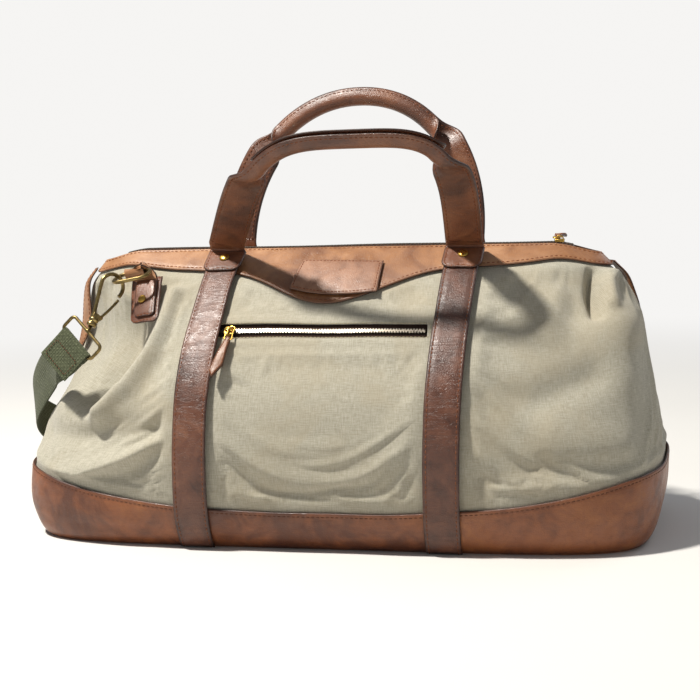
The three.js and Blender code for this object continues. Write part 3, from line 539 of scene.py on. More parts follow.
def slab(name, place, us, vs, offset, thickness, look, sewn="", ring=False, rim=1.3, seam=3.3,
         thread="thread", rides="root", edge="edge", groove=0.45, pitch=4.3, **rest):
    """A closed sheet between two heights over a surface, with rounded painted rims and sewn borders.

    The sewn borders are letters: l and r at the ends of u, b and t at the ends of v."""
    u, v = np.meshgrid(us, vs)
    top = place(u, v, np.full(u.shape, offset + thickness))
    du = np.linalg.norm(np.diff(top, axis=1), axis=2)
    dv = np.linalg.norm(np.diff(top, axis=0), axis=2)
    left = np.hstack([np.zeros((len(vs), 1)), np.cumsum(du, axis=1)])
    bottom = np.vstack([np.zeros((1, len(us))), np.cumsum(dv, axis=0)])
    far = {"l": left, "r": left[:, -1:] - left, "b": bottom, "t": bottom[-1:] - bottom}
    if ring:
        far["l"] = far["r"] = np.full(u.shape, 1e9)
    border = np.minimum(np.minimum(far["l"], far["r"]), np.minimum(far["b"], far["t"]))
    sunk = sum(np.exp(-(((far[k] - seam) / 0.9) ** 2)) for k in sewn) if sewn else 0
    near_rim = 1 - smooth(0, rim, border)
    out = offset + thickness * (1 - 0.4 * near_rim) - groove * np.minimum(sunk, 1)
    inner = offset + 0.25 * thickness * near_rim
    p = np.concatenate([place(u, v, out).reshape(-1, 3), place(u, v, inner).reshape(-1, 3)])
    rows, columns = u.shape
    count = rows * columns
    wide = columns - 1 if ring else columns
    if ring:
        keep = (np.arange(2 * count).reshape(2 * rows, columns)[:, :wide]).ravel()
        p, count = p[keep], rows * wide
        border, left, bottom = border[:, :wide], left[:, :wide], bottom[:, :wide]
    faces = [quads(rows, wide, ring), quads(rows, wide, ring, count, True)]
    index = np.arange(count).reshape(rows, wide)
    loops = [index[0], index[-1][::-1]] + ([] if ring else [index[:, -1], index[::-1, 0]])
    sides = []
    for line in loops:
        a, b = (line, np.roll(line, -1)) if ring else (line[:-1], line[1:])
        sides.append(np.stack([b, a, a + count, b + count], -1))
    faces.append(np.vstack(sides))
    slots = np.r_[np.zeros(len(faces[0]) + len(faces[1])), np.ones(len(faces[2]))]
    uv = np.tile(np.stack([left, bottom], -1).reshape(-1, 2), (2, 1))
    shade = np.tile((1 - smooth(0, 3.0, border)).ravel(), 2)
    for k in sewn:
        threads = (rides, thread)
        sew_border(place, us, vs, far, k, sewn, seam, threads, offset + thickness - groove, pitch)
    return make(name, p, np.vstack(faces), [look, edge], rides, uv=uv, rim=shade, slots=slots, **rest)


def sew_border(place, us, vs, far, k, sewn, seam, name, out, pitch):
    """A row of stitches at a distance from one border, stopping where it meets the rows of its neighbours."""
    along, across = (vs, us) if k in "lr" else (us, vs)
    field = far[k] if k in "lr" else far[k].T
    others = [far[o] if k in "lr" else far[o].T for o in ("bt" if k in "lr" else "lr") if o in sewn]
    at, keep = [], []
    for j in range(len(along)):
        order = np.argsort(field[j])
        at.append(np.interp(seam, field[j][order], across[order]))
        keep.append(all(np.interp(at[-1], across, o[j]) >= seam - 0.2 for o in others))
    keep = np.array(keep)
    if keep.sum() < 2:
        return
    ends = along[keep]
    w = np.linspace(ends.min(), ends.max(), 400)
    a = np.interp(w, along, at)
    u, v = (a, w) if k in "lr" else (w, a)
    stitch_path(place, u, v, np.full(len(w), out), name, pitch)


def fix_normals(obj):
    b = bmesh.new()
    b.from_mesh(obj.data)
    bmesh.ops.recalc_face_normals(b, faces=b.faces)
    b.to_mesh(obj.data)
    b.free()


def loft(name, rings, looks, slots=None, closed=False, **rest):
    """A tube through rings of points, closed on itself or with a flat cap at each end.

    The slots give the material of each side of the tube. The caps take the second material."""
    rings = np.asarray(rings, float)
    count, sides = rings.shape[:2]
    faces = (quads(count + closed, sides, True) % (count * sides)).tolist()
    if slots is not None:
        slots = np.tile(slots, count + closed - 1).tolist() + ([] if closed else [1, 1])
    if not closed:
        faces += [list(range(sides))[::-1], list(range((count - 1) * sides, count * sides))]
    obj = make(name, rings, faces, looks, slots=slots, **rest)
    fix_normals(obj)
    return obj


def sweep(name, points, side, up, section, looks, uv=False, **rest):
    """A section, as (sides, 2), carried along a path."""
    section = np.asarray(section, float)
    rings = points[:, None] + side[:, None] * section[:, :1] + up[:, None] * section[:, 1:]
    if uv:
        rest["uv"] = np.dstack(np.meshgrid(run_along(section), run_along(points)))
    return loft(name, rings, looks, **rest)


def ring_section(radius, sides=14):
    a = np.arange(sides) * 2 * math.pi / sides
    return np.stack([radius * np.cos(a), radius * np.sin(a)], -1)


def transport(points, first, closed=False):
    """Side and up vectors that turn as little as possible along a path."""
    points = np.asarray(points, float)
    if closed:
        t = unit(np.roll(points, -1, 0) - np.roll(points, 1, 0))
    else:
        t = unit(np.gradient(points, axis=0))
    side = []
    now = np.asarray(first, float)
    for k in t:
        now = unit(now - (now @ k) * k)
        side.append(now)
    side = np.array(side)
    return side, np.cross(t, side)


def wire(name, points, radius, first, look="antique", closed=False, sides=14, **rest):
    side, up = transport(points, first, closed)
    return sweep(name, points, side, up, ring_section(radius, sides), [look], closed=closed, **rest)


def lathe(name, profile, matrix, look, sides=28, **rest):
    """Radius and height pairs turned round Z of a frame."""
    radii, heights = np.array(profile).T
    flat = radii[:, None, None] * ring_section(1, sides)
    rings = np.dstack([flat, np.tile(heights, (sides, 1)).T])
    return loft(name, rings @ matrix[:3, :3].T + matrix[:3, 3], [look], **rest)


TURN_Z = np.diag([-1.0, -1.0, 1.0])


def stand(point, z, x=(1, 0, 0)):
    """A frame at a point with +Z along a direction."""
    m = np.eye(4)
    z = unit(z)
    y = unit(np.cross(z, x))
    m[:3, 0], m[:3, 1], m[:3, 2], m[:3, 3] = np.cross(y, z), y, z, point
    return m


def rectangle(x0, x1, y0, y1):
    return [(x0, y0), (x1, y0), (x1, y1), (x0, y1)]


def prism(name, outline, low, high, matrix, look, bevel=0.35, **rest):
    """An outline extruded along Z of a frame, with bevelled edges."""
    rings = np.array([[(x, y, z) for x, y in outline] for z in (low, high)], float)
    obj = loft(name, rings @ matrix[:3, :3].T + matrix[:3, 3], [look], **rest)
    soften(obj, bevel)
    return obj


def soften(obj, width, segments=3):
    m = obj.modifiers.new("rounding", "BEVEL")
    m.width, m.segments = width / 1000, segments
    m.limit_method, m.angle_limit = "ANGLE", math.radians(35)


def join(name, *objs):
    """One object from several that share a body; its name is the first's."""
    graph = bpy.context.evaluated_depsgraph_get()
    for o in objs:
        evaluated = bpy.data.meshes.new_from_object(o.evaluated_get(graph))
        o.modifiers.clear()
        o.data = evaluated
    first = objs[0]
    with bpy.context.temp_override(active_object=first, object=first, selected_editable_objects=list(objs)):
        bpy.ops.object.join()
    first.name = name
    return first


# ---------------- canvas
HALF_TURN_GAP = 0.002


def canvas_place(start, u, v):
    """The angle and the share of a panel's points; v counts the bands between the marks."""
    angle = start + HALF_TURN_GAP + u * (math.pi - 2 * HALF_TURN_GAP)
    low = share(base_edge_z(body(angle, 0.12)[..., 0]) - 12)
    high = share(yoke_edge_z(body(angle, 0.95)[..., 0]) + 9)
    window = [share(POCKET_Z + half * POCKET_WINDOW / 2) for half in (-1, 1)]
    marks = [low, share(110), *window, share(202), high]
    s = np.zeros(np.broadcast(u, v).shape)
    for k, (a, b) in enumerate(zip(marks, marks[1:])):
        s = np.where((v >= k) & (v <= k + 1), a + (b - a) * (v - k), s)
    return angle, s


def canvas(name, start, part, window):
    """One panel of canvas, with the opening of the pocket cut out and its lips turned up."""
    us = np.linspace(0, 1, 300)
    if window:
        ends = facing(vec(-POCKET_HALF, POCKET_HALF), share(POCKET_Z)) + 2 * math.pi - start - HALF_TURN_GAP
        us = np.sort(np.r_[us, ends / (math.pi - 2 * HALF_TURN_GAP)])
    bands = [np.linspace(k, k + 1, n, endpoint=False) for k, n in enumerate([42, 38, 6, 6, 22])]
    u, v = np.meshgrid(us, np.concatenate(bands + [[5.0]]))
    angle, s = canvas_place(start, u, v)
    base = body(angle, s)
    p = on_body(angle, s, folds(base))
    if window:
        x, z = np.abs(base[..., 0]), np.abs(base[..., 2] - POCKET_Z)
        gap = np.maximum(x - POCKET_HALF, (z - POCKET_WINDOW / 2) * 1.35)
        lip = 0.9 * smooth(-0.1, 0.6, gap) * (1 - smooth(8.0, 9.6, gap)) * (base[..., 1] < 0)
        p = p + normal(angle, s) * lip[..., None]
    uv = np.stack([np.broadcast_to(run_along(p[60]), u.shape), s * LENGTH], -1)
    faces = quads(*u.shape)
    if window:
        centre = base.reshape(-1, 3)[faces].mean(1)
        beside, over = np.abs(centre[:, 0]), np.abs(centre[:, 2] - POCKET_Z)
        faces = faces[(beside >= POCKET_HALF) | (over >= POCKET_WINDOW / 2)]
    obj = make(name, p, faces, ["canvas"], part=part, uv=uv)
    return obj, base, normal(angle, s)


def settle(obj, base, normals, frames=18, cap=4.0):
    """Lets the canvas settle as cloth between its sewn borders, and keeps a limited part of the movement."""
    rest = np.array([v.co for v in obj.data.vertices])
    held = 1 - loose(base.reshape(-1, 3))
    over = np.abs(base[..., 2] - POCKET_Z) - POCKET_WINDOW / 2
    window = np.maximum(np.abs(base[..., 0]) - POCKET_HALF, over)
    held = np.maximum(held, ((window < 12) & (base[..., 1] < 0)).ravel())
    group = obj.vertex_groups.new(name="sewn")
    for level in range(1, 6):
        chosen = np.nonzero(np.round(held * 5) == level)[0].tolist()
        group.add(chosen, level / 5, "REPLACE")
    m = obj.modifiers.new("cloth", "CLOTH")
    cloth = m.settings
    cloth.quality, cloth.mass, cloth.air_damping = 6, 0.25, 2.0
    cloth.tension_stiffness = cloth.compression_stiffness = 20
    cloth.shear_stiffness, cloth.bending_stiffness = 12, 1.5
    cloth.vertex_group_mass, cloth.pin_stiffness = "sewn", 2.0
    cloth.shrink_min = cloth.shrink_max = -0.018
    cloth.use_pressure, cloth.uniform_pressure_force = True, 1.2
    cloth.effector_weights.gravity = 0.5
    m.point_cache.frame_start, m.point_cache.frame_end = 1, frames
    scene = bpy.context.scene
    scene.frame_start, scene.frame_end = 1, frames
    for f in range(1, frames + 1):
        scene.frame_set(f)
    graph = bpy.context.evaluated_depsgraph_get()
    moved = np.array([v.co for v in obj.evaluated_get(graph).data.vertices]) - rest
    obj.modifiers.remove(m)
    scene.frame_set(1)
    n = normals.reshape(-1, 3)
    grid = (np.einsum("ij,ij->i", moved, n) * 1000).reshape(base.shape[:2])
    slow = grid.copy()
    for _ in range(60):
        slow[1:-1] = (slow[:-2] + 2 * slow[1:-1] + slow[2:]) / 4
        slow[:, 1:-1] = (slow[:, :-2] + 2 * slow[:, 1:-1] + slow[:, 2:]) / 4
    fine = cap * np.tanh((0.35 * slow + (grid - slow)) / cap)
    shift = np.maximum(fine.ravel() * (1 - held), (deepest(base) - folds(base)).ravel())
    obj.data.vertices.foreach_set("co", (rest + n * shift[:, None] / 1000).ravel())
    obj.data.update()


def thicken(obj, thickness):
    m = obj.modifiers.new("thickness", "SOLIDIFY")
    m.thickness, m.offset = thickness / 1000, -1


for label, start, part, window in [
    ("canvas_front_cloth", math.pi, "canvas_front", True),
    ("canvas_rear_cloth", 0.0, "canvas_back", False),
]:
    cloth_obj, base_points, base_normals = canvas(label, start, part, window)
    settle(cloth_obj, base_points, base_normals)
    thicken(cloth_obj, CANVAS)


def lining_place(u, v, out):
    """The tub of lining hangs inside the canvas and follows its folds."""
    angle = 2 * math.pi * u
    s = share(14) + (share(ZIP_Z - 16) - share(14)) * v
    return on_body(angle, s, out + np.minimum(folds(body(angle, s)), 0))


TUB_SIDES, TUB_ROWS = 360, 60
TUB_OFFSET, TUB_THICKNESS, TUB_FLOOR_Z = -13, 1, 12
around, up_wall = np.meshgrid(np.linspace(0, 1, TUB_SIDES + 1)[:-1], np.linspace(0, 1, TUB_ROWS))
outer, inner = (lining_place(around, up_wall, TUB_OFFSET - depth) for depth in (0.0, TUB_THICKNESS))
tub = np.concatenate([outer, inner[::-1]])
tub[0, :, 2], tub[-1, :, 2] = TUB_FLOOR_Z, TUB_FLOOR_Z - 0.8
loft("lining_tub", tub, ["lining"], part="lining",
     uv=np.stack([tub[..., 0] + tub[..., 1], tub[..., 2]], -1))

# ---------------- leather on the body
BASE_FOLDS = [
    ([(-258, -84, 25), (-215, -127, 17), (-150, -133, 15)], 5, -1.3),
    ([(-268, -60, 40), (-232, -120, 34), (-175, -137, 26)], 9, 1.2),
    ([(262, -75, 30), (225, -126, 24)], 14, 1.4),
]


def base_place(u, v, out):
    angle = 2 * math.pi * u
    s = share(base_edge_z(body(angle, 0.12)[..., 0])) * v
    p = body(angle, s)
    for turn in (1, -1):
        for line, width, height in BASE_FOLDS:
            out = out + height * np.exp(-((near_line(p * vec(turn, turn, 1), line) / width) ** 2))
    return on_body(angle, s, out)


slab("base_leather_band", base_place, np.linspace(0, 1, 361), spaced(52, 14), LAYER_GAP, LEATHER, "base", "t",
     ring=True, part="leather_base", thread="thread_dark")

# The underside: a floor panel with a turned rim.
FLOOR_SIDES = 240
angles = np.linspace(0, 2 * math.pi, FLOOR_SIDES + 1)[:-1]
rim_line = on_body(angles, np.zeros(FLOOR_SIDES), np.full(FLOOR_SIDES, LAYER_GAP + LEATHER / 2))
rim_steps = [(1, 0.6), (0.995, 0.15), (0.985, 0), (0.9, 0), (0.5, 0), (0.02, 0)]
rings = [rim_line * vec(k, k, 0) + vec(0, 0, z) for k, z in rim_steps]
floor_faces = quads(len(rings), FLOOR_SIDES, True).tolist()
floor_faces.append([k + FLOOR_SIDES * (len(rings) - 1) for k in range(FLOOR_SIDES)])
fix_normals(make("base_underside", np.concatenate(rings), floor_faces, ["base"]))

for side, start in (("front", math.pi), ("rear", 0.0)):

    def yoke_place(u, v, out, start=start):
        angle = start + 0.004 + u * (math.pi - 0.008)
        low = share(yoke_edge_z(body(angle, 0.95)[..., 0]))
        return on_body(angle, low + (share(ZIP_Z - 1.5) - low) * v, out)

    slab(f"yoke_{side}_leather", yoke_place, np.linspace(0, 1, 260), spaced(34, 12), LAYER_GAP, LEATHER,
         "tan", "bt", part=f"yoke_{side}")

for side, angle in (("left", math.pi), ("right", 0.0)):

    def tail_place(u, v, out, angle=angle):
        half = 0.03 + 0.105 * np.sqrt(v)
        low, high = share(156), share(247)
        return on_body(angle + (2 * u - 1) * half, low + (high - low) * v, out)

    slab(f"tail_{side}_leather", tail_place, spaced(20, 5), np.linspace(0, 1, 44), STRAP_OFFSET, LEATHER,
         "tan", "lr", part=f"end_tail_{side}", seam=2.8)


def strip_place(x0, s0, s1, half, turn=0.0, about=0.0, dip=None):
    """A strip on the front of the body, or on the rear when it is turned about by pi."""
    mid = (s0 + s1) / 2

    def place(u, v, out):
        across = (2 * u - 1) * half(v)
        along = (s0 + (s1 - s0) * v - mid) * LENGTH
        if dip:
            along = along - dip(u) * (1 - v)
        x = x0 + across * math.cos(turn) - along * math.sin(turn)
        s = mid + (across * math.sin(turn) + along * math.cos(turn)) / LENGTH
        return on_body(facing(x, s) + about, s, out)

    return place


def rounded(half, length, radius):
    """The half width along a strip whose lower corners are rounded."""
    def width(v):
        missing = np.maximum(radius - v * length, 0)
        return half - radius + np.sqrt(np.maximum(radius * radius - missing * missing, 0))

    return width


def round_rows(length, count, radius):
    """Rows along a strip that crowd at a rounded lower end."""
    bend = radius * (1 - np.cos(np.linspace(0, math.pi / 2, 9))) / length
    return np.r_[bend, np.linspace(bend[-1], 1, count)[1:]]


DOME = [(0.01, -2.2), (1.4, -2.2), (1.5, 0), (4.3, 0.0), (4.75, 0.25), (4.75, 0.8), (4.3, 1.35), (3.2, 1.85),
        (1.8, 2.15), (0.01, 2.25)]
SHANK = 2


def rivet(name, point, axis, size, part):
    """A domed cap whose shank keeps its width when the cap is scaled."""
    profile = [(r * (size if r > SHANK else 1), h) for r, h in DOME]
    return lathe(name, profile, stand(point, axis), "brass", part=part)


crease_share = share(CREASE_Z)
strap_top = crease_share - 3.6 / LENGTH
TABS = []
for side, about in (("front", 0.0), ("rear", math.pi)):
    for hand, sign in (("left", -1), ("right", 1)):
        drift = FRONT_DRIFT if side == "front" else 0
        turn = -drift / ((crease_share - share(5)) * LENGTH)
        x = sign * STRAP_X * (-1 if about else 1)
        label = f"{side}_{hand}"
        place = strip_place(x + drift / 2, share(5), strap_top, lambda v: STRAP_WIDTH / 2, turn, about)
        x += drift
        slab(f"strap_{label}", place, spaced(STRAP_WIDTH, 7), np.linspace(0, 1, 110), STRAP_OFFSET, LEATHER,
             "strap", "lr", part=f"body_strap_{label}", seam=2.9)
        s0 = share(TAB_BOTTOM_Z)
        length = (strap_top - s0) * LENGTH
        tab_place = strip_place(x, s0, strap_top, rounded(TAB_WIDTH / 2, length, 9), turn, about)
        slab(f"tab_{label}", tab_place, spaced(TAB_WIDTH, 9), round_rows(length, 16, 9), TAB_OFFSET, LEATHER,
             "handle", "lrb", part=f"handle_tab_{label}", seam=2.9)
        rivet_share = share((TAB_BOTTOM_Z + CREASE_Z) / 2 + 1)
        angle = facing(np.array(x, float), rivet_share) + about
        spot, axis = on_body(angle, rivet_share, TAB_OFFSET + LEATHER + GAP), normal(angle, rivet_share)
        rivet(f"rivet_{label}", spot, axis, 1.0, f"tab_rivet_{label}")
        TABS.append((label, side, x, about, tab_place))

# ---------------- label
LABEL_HALF = 38
label_place = strip_place(7, share(217), share(243), lambda v: LABEL_HALF + 2.5 * (1 - v), math.radians(-3),
                          dip=lambda u: 5.5 * (1 - (2 * u - 1) ** 2) - 4)
slab("label_leather", label_place, spaced(2 * LABEL_HALF, 22), spaced(26, 10), STRAP_OFFSET, LEATHER, "label",
     "lrbt", part="label_patch", seam=2.6, pitch=3.2)

# ---------------- handles
ARC_HALF, FOLD_TURN = 12.0, 2.0
HANDLE_STEPS, HANDLE_SEAM = 150, 3.4
Y_AXIS = vec(0, 1, 0)


def handle_section(k, samples=25):
    """The folded strap's middle line across its width, with its normals: flat at 0 and a closed fold at 1."""
    half = HANDLE_WIDTH / 2 + 3.2 * k
    w = np.linspace(-half, half, samples)
    fine = np.linspace(-half, half, 401)
    turn = k * FOLD_TURN * np.clip(fine / ARC_HALF, -1, 1)
    step = fine[1] - fine[0]
    a, b = np.cumsum(np.cos(turn)) * step, np.cumsum(np.sin(turn)) * step
    a, b = a - a[200], b - b[200]
    a, b, turn = (np.interp(w, fine, f) for f in (a, b, turn))
    b = b - b.max() * 0.52
    return w, np.stack([a, b], -1), np.stack([np.sin(turn), -np.cos(turn)], -1)


def arch_point(t, sway, squareness, taper):
    across, rise = (np.sign(n) * np.abs(n) ** (2 / squareness) for n in (np.cos(t), np.sin(t)))
    reach = sway * rise - STRAP_X * across * (1 - taper * rise)
    return np.stack([reach, 0 * t, 5 + (HANDLE_RISE - 5) * rise], -1)


def handle(side, about):
    """A strap along an arch, flat at its legs and folded round a cord in the middle. Returns its two ends."""
    lean, sway, squareness, taper, drift = HANDLES[side]
    front = np.array(-math.pi / 2)
    crease = body(front, crease_share) + normal(front, crease_share) * CREASE_OFFSET + vec(drift, 0, 0)
    arch = arch_point(np.linspace(1e-9, math.pi - 1e-9, 600), sway, squareness, taper)
    path = resample(arch, HANDLE_STEPS)
    t = unit(np.gradient(path, axis=0))
    outward = -np.cross(t, Y_AXIS)
    near = 0.5 - np.abs(np.linspace(0, 1, HANDLE_STEPS) - 0.5)
    fold = smooth(0.21, 0.30, near)
    thick = 2.3 - 1.0 * fold
    c, s = math.cos(math.radians(lean)), math.sin(math.radians(lean))
    leaning = np.array([[1, 0, 0], [0, c, -s], [0, s, c]])
    flip = TURN_Z if about else np.eye(3)

    def place(p):
        return (p @ leaning.T + crease) @ flip.T

    outer, inner, seams, normals = [], [], [], []
    for j in range(HANDLE_STEPS):
        w, mid, n = handle_section(fold[j])
        phi = fold[j] * math.pi / 2
        a_dir = math.cos(phi) * outward[j] + math.sin(phi) * Y_AXIS
        b_dir = math.cos(phi) * Y_AXIS - math.sin(phi) * outward[j]
        edge = w.max() - np.abs(w)
        rim = 1 - 0.45 * (1 - smooth(0, 1.6, edge))
        seam = 0.35 * np.exp(-((edge - HANDLE_SEAM) ** 2))
        for store, sign in ((outer, 1), (inner, -1)):
            q = mid + n * ((thick[j] * rim - seam) * sign)[:, None]
            store.append(path[j] + q[:, :1] * a_dir + q[:, 1:] * b_dir)
        seams.append(np.interp([HANDLE_SEAM - w.max(), w.max() - HANDLE_SEAM], w, np.arange(len(w))))
        normals.append(n[:, :1] * a_dir + n[:, 1:] * b_dir)
    outer, inner, seams, normals = (np.array(part) for part in (outer, inner, seams, normals))
    columns = outer.shape[1]
    section = np.concatenate([outer, inner[:, ::-1]], 1)
    w = HANDLE_WIDTH / 2 * (1 - np.abs(np.linspace(-1, 1, columns)))
    rim = np.tile(1 - smooth(0, 3, np.r_[w, w[::-1]]), HANDLE_STEPS)
    loft(f"handle_{side}_leather", place(section), ["handle", "edge"], sheet_slots(columns), rim=rim,
         rides=f"handle_{side}", part=f"handle_{side}")
    rows = np.arange(HANDLE_STEPS)
    for i in seams.T:
        for layer, sign in ((outer, 1), (inner, -1)):
            low = np.clip(i.astype(int), 0, columns - 2)
            f = (i - low)[:, None]
            on = layer[rows, low] * (1 - f) + layer[rows, low + 1] * f
            facing_out = normals[rows, low] * sign @ leaning.T @ flip.T
            stitch_row(place(on), facing_out, (f"handle_{side}", "thread"))
    ends = {}
    for j, sign in ((0, -1), (-1, 1)):
        ends[-sign if about else sign] = place(section[j]), place(path[j] + t[j]) - place(path[j])
    return ends


def sheet_slots(columns):
    """Material slots round a flat section: the look on both faces and the painted edge at both ends."""
    return [1 if k in (columns - 1, 2 * columns - 1) else 0 for k in range(2 * columns)]


ENDS_OF = {"front": handle("front", False), "rear": handle("rear", True)}

BEND_STEPS = 14
# The short bend of leather between a sewn tab and its handle's leg, joining the two as they stand.
for label, side, x, about, tab_place in TABS:
    sign = -1 if x < 0 else 1
    leg, direction = ENDS_OF[side][sign * (-1 if about else 1)]
    direction = unit(direction * (1 if direction[2] > 0 else -1))
    half = len(leg) // 2
    front_edge, back_edge = leg[:half], leg[half:][::-1]
    if front_edge[0, 0] > front_edge[-1, 0]:
        front_edge, back_edge = front_edge[::-1], back_edge[::-1]
    us = (front_edge[:, 0] - front_edge[:, 0].min()) / np.ptp(front_edge[:, 0])
    us = 0.02 + 0.96 * (1 - us if about else us)
    sheets = []
    for height, leg_line in ((TAB_OFFSET + LEATHER * 0.98, front_edge), (TAB_OFFSET + 0.1, back_edge)):
        low, below = (tab_place(us, np.full(half, v), np.full(half, height)) for v in (0.97, 0.9))
        span = np.linalg.norm(leg_line - low, axis=1)[:, None]
        w = np.linspace(0, 1, BEND_STEPS)[:, None, None]
        p1 = low + unit(low - below) * span * 0.5
        p2, p3 = leg_line - direction * span * 0.45, leg_line + direction * 1.5
        sheets.append(low * (1 - w) ** 3 + 3 * p1 * w * (1 - w) ** 2 + 3 * p2 * w * w * (1 - w) + p3 * w**3)
    rings = np.concatenate([sheets[0], sheets[1][:, ::-1]], 1)
    bend = loft(f"bend_{label}", rings, ["handle", "edge"], sheet_slots(half), rides=None)
    start, end = (tuple(rings[j].mean(0) / 1000) for j in (0, -1))
    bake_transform(bend)
    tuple(start)
    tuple(end)

# ---------------- zips
JOINTS = {j["name"]: j for j in frame["joints"]}


def pivot(name):
    return np.array(JOINTS[name]["pos_m"]) * 1000


# A tooth's outline, with its nose, and its three levels: height and how wide the outline is there.
TOOTH = [(-0.36, -1.0), (0.36, -1.0), (0.5, -0.1), (0.46, 0.38), (-0.46, 0.38), (-0.5, -0.1)]
TOOTH_LEVELS = [(-0.5, 1.0), (0.55, 1.0), (0.95, 0.62)]


def tooth_row(name, centres, up, half_width, part):
    """Interlocking teeth: blocks with a nose, alternately from each side."""
    along = unit(np.gradient(centres, axis=0))
    across = np.cross(up, along)
    shape = np.array([[a * k, c, h] for h, k in TOOTH_LEVELS for a, c in TOOTH])
    n = len(centres)
    pitch = np.linalg.norm(centres[1] - centres[0])
    hand = np.where(np.arange(n) % 2 == 0, 1.0, -1.0)[:, None, None]
    a = shape[None, :, 0:1] * pitch * 1.75
    c = shape[None, :, 1:2] * half_width * hand
    h = np.broadcast_to(shape[None, :, 2:3] * 1.15, a.shape)
    p = centres[:, None] + along[:, None] * a + across[:, None] * c + up[:, None] * h
    one = quads(3, 6, True).tolist() + [[5, 4, 3, 2, 1, 0], [12, 13, 14, 15, 16, 17]]
    faces = [[i + 18 * k for i in f] for k in range(n) for f in one]
    obj = make(name, p, faces, ["teeth"], part=part)
    obj.data.polygons.foreach_set("use_smooth", [False] * len(obj.data.polygons))
    fix_normals(obj)


def on_front(x, s, out):
    """Points at a height over the front of the bag, with their normals."""
    x = np.asarray(x, float)
    angle = facing(x, s + 0 * x)
    return on_body(angle, s + 0 * x, out), normal(angle, s + 0 * x)


pocket_s = share(POCKET_Z)
pocket_p, pocket_n = on_front(np.arange(-POCKET_HALF + 3, POCKET_HALF - 2, 1.28), pocket_s, -0.9)
tooth_row("pocket_teeth", pocket_p, pocket_n, 2.2, "pocket_chain")
for label, sign in (("upper", 1), ("lower", -1)):

    def tape_place(u, v, out, sign=sign):
        d = sign * (1.3 + 10.5 * (v if sign > 0 else 1 - v))
        return on_front((2 * u - 1) * (POCKET_HALF + 5), pocket_s + d / LENGTH, out)[0]

    slab(f"pocket_tape_{label}_cloth", tape_place, np.linspace(0, 1, 60), np.linspace(0, 1, 8), -CANVAS - 1.5,
         0.9, "tape", edge="tape", part=f"pocket_tape_{label}", rim=0.3)

# The canvas is sewn to the tapes along a rectangle round the opening.
SEAM_X, SEAM_DROP, SEAM_OUT = POCKET_HALF + 2.5, 8.0, 0.75
for drop in (-SEAM_DROP, SEAM_DROP):
    p, n = on_front(np.linspace(-SEAM_X, SEAM_X, 200), pocket_s + drop / LENGTH, SEAM_OUT)
    stitch_row(p, n, ("root", "thread_pale"), 3.4, 2.4, 0.36)
for x in (-SEAM_X, SEAM_X):
    p, n = on_front(np.full(40, x), pocket_s + np.linspace(-SEAM_DROP, SEAM_DROP, 40) / LENGTH, SEAM_OUT)
    stitch_row(p, n, ("root", "thread_pale"), 3.2, 2.2, 0.36)

MAIN_Z = ZIP_Z + 1


def level(x):
    """The line of the main zip, which wanders a little and sinks at both ends."""
    wander = 0.5 * np.sin(x / 46) + 0.25 * np.sin(x / 17)
    return np.stack([x, wander, MAIN_Z + 0.35 * np.sin(x / 33) - droop(x)], -1)


main_p = level(np.arange(-MAIN_CHAIN_HALF + 2, MAIN_CHAIN_HALF - 1.5, 1.55))
tooth_row("main_teeth", main_p, np.tile(vec(0, 0, 1), (len(main_p), 1)), 3.2, "zip_chain")
for label, sign in (("front", -1), ("rear", 1)):

    def main_tape_place(u, v, out, sign=sign):
        x = (2 * u - 1) * MAIN_CHAIN_HALF
        d = 2.0 + 7.4 * v
        p = level(x) + np.stack([0 * x, sign * d, -0.2 - 0.004 * d**2 + 0 * x], -1)
        return p + vec(0, 0, 1) * np.asarray(out)[..., None]

    flip_v = np.linspace(0, 1, 7) if sign > 0 else np.linspace(1, 0, 7)
    slab(f"main_tape_{label}_cloth", main_tape_place, np.linspace(0, 1, 160), flip_v, -0.9, 1.0, "tape",
         edge="tape", part=f"zip_tape_{label}", rim=0.3)
    xs = np.linspace(-MAIN_CHAIN_HALF + 1, MAIN_CHAIN_HALF - 1, 300)
    q = level(xs) + vec(0, sign * 6.4, -0.1)
    stitch_row(q, np.tile(vec(0, 0, 1), (300, 1)), ("root", "thread_dark"), 3.4, 2.4, 0.34)


def slider(name, m, width, rides, part):
    """Top plate, side rails and a crown that holds the ring."""
    w = width / 2 + 1.9
    side = [(-4.5, -w * 0.62), (-2.5, -w), (2.6, -w), (4.5, -w * 0.82)]
    parts = [prism(name, side + [(x, -y) for x, y in side[::-1]], 1.35, 2.7, m, "brass", 0.4, rides=rides,
               part=part)]
    for y in (0.6 - w, w - 0.6):
        rail = rectangle(-4, 4, y - 0.6, y + 0.6)
        parts.append(prism(name + "_rail", rail, -0.3, 2.0, m, "brass", 0.3, rides=rides))
    arc = np.array([[3.3 * math.cos(a), 0, 2.4 + 3.3 * math.sin(a)] for a in np.linspace(0, math.pi, 15)])
    arc = arc @ m[:3, :3].T + m[:3, 3]
    across = np.tile(m[:3, 1], (len(arc), 1))
    upward = np.cross(unit(np.gradient(arc, axis=0)), m[:3, 1])
    crown = sweep(name + "_crown", arc, across, upward, rectangle(-1.1, 1.1, -0.5, 0.5), ["brass"],
                  rides=rides)
    soften(crown, 0.3)
    join(name, *parts, crown)


RING_SIDE = [(2.2, 2.4), (2.6, 1.6), (2.6, -4), (3.6, -10), (3.1, -11)]
PULL_FOOT, PULL_TIP = 0.455, -53.2


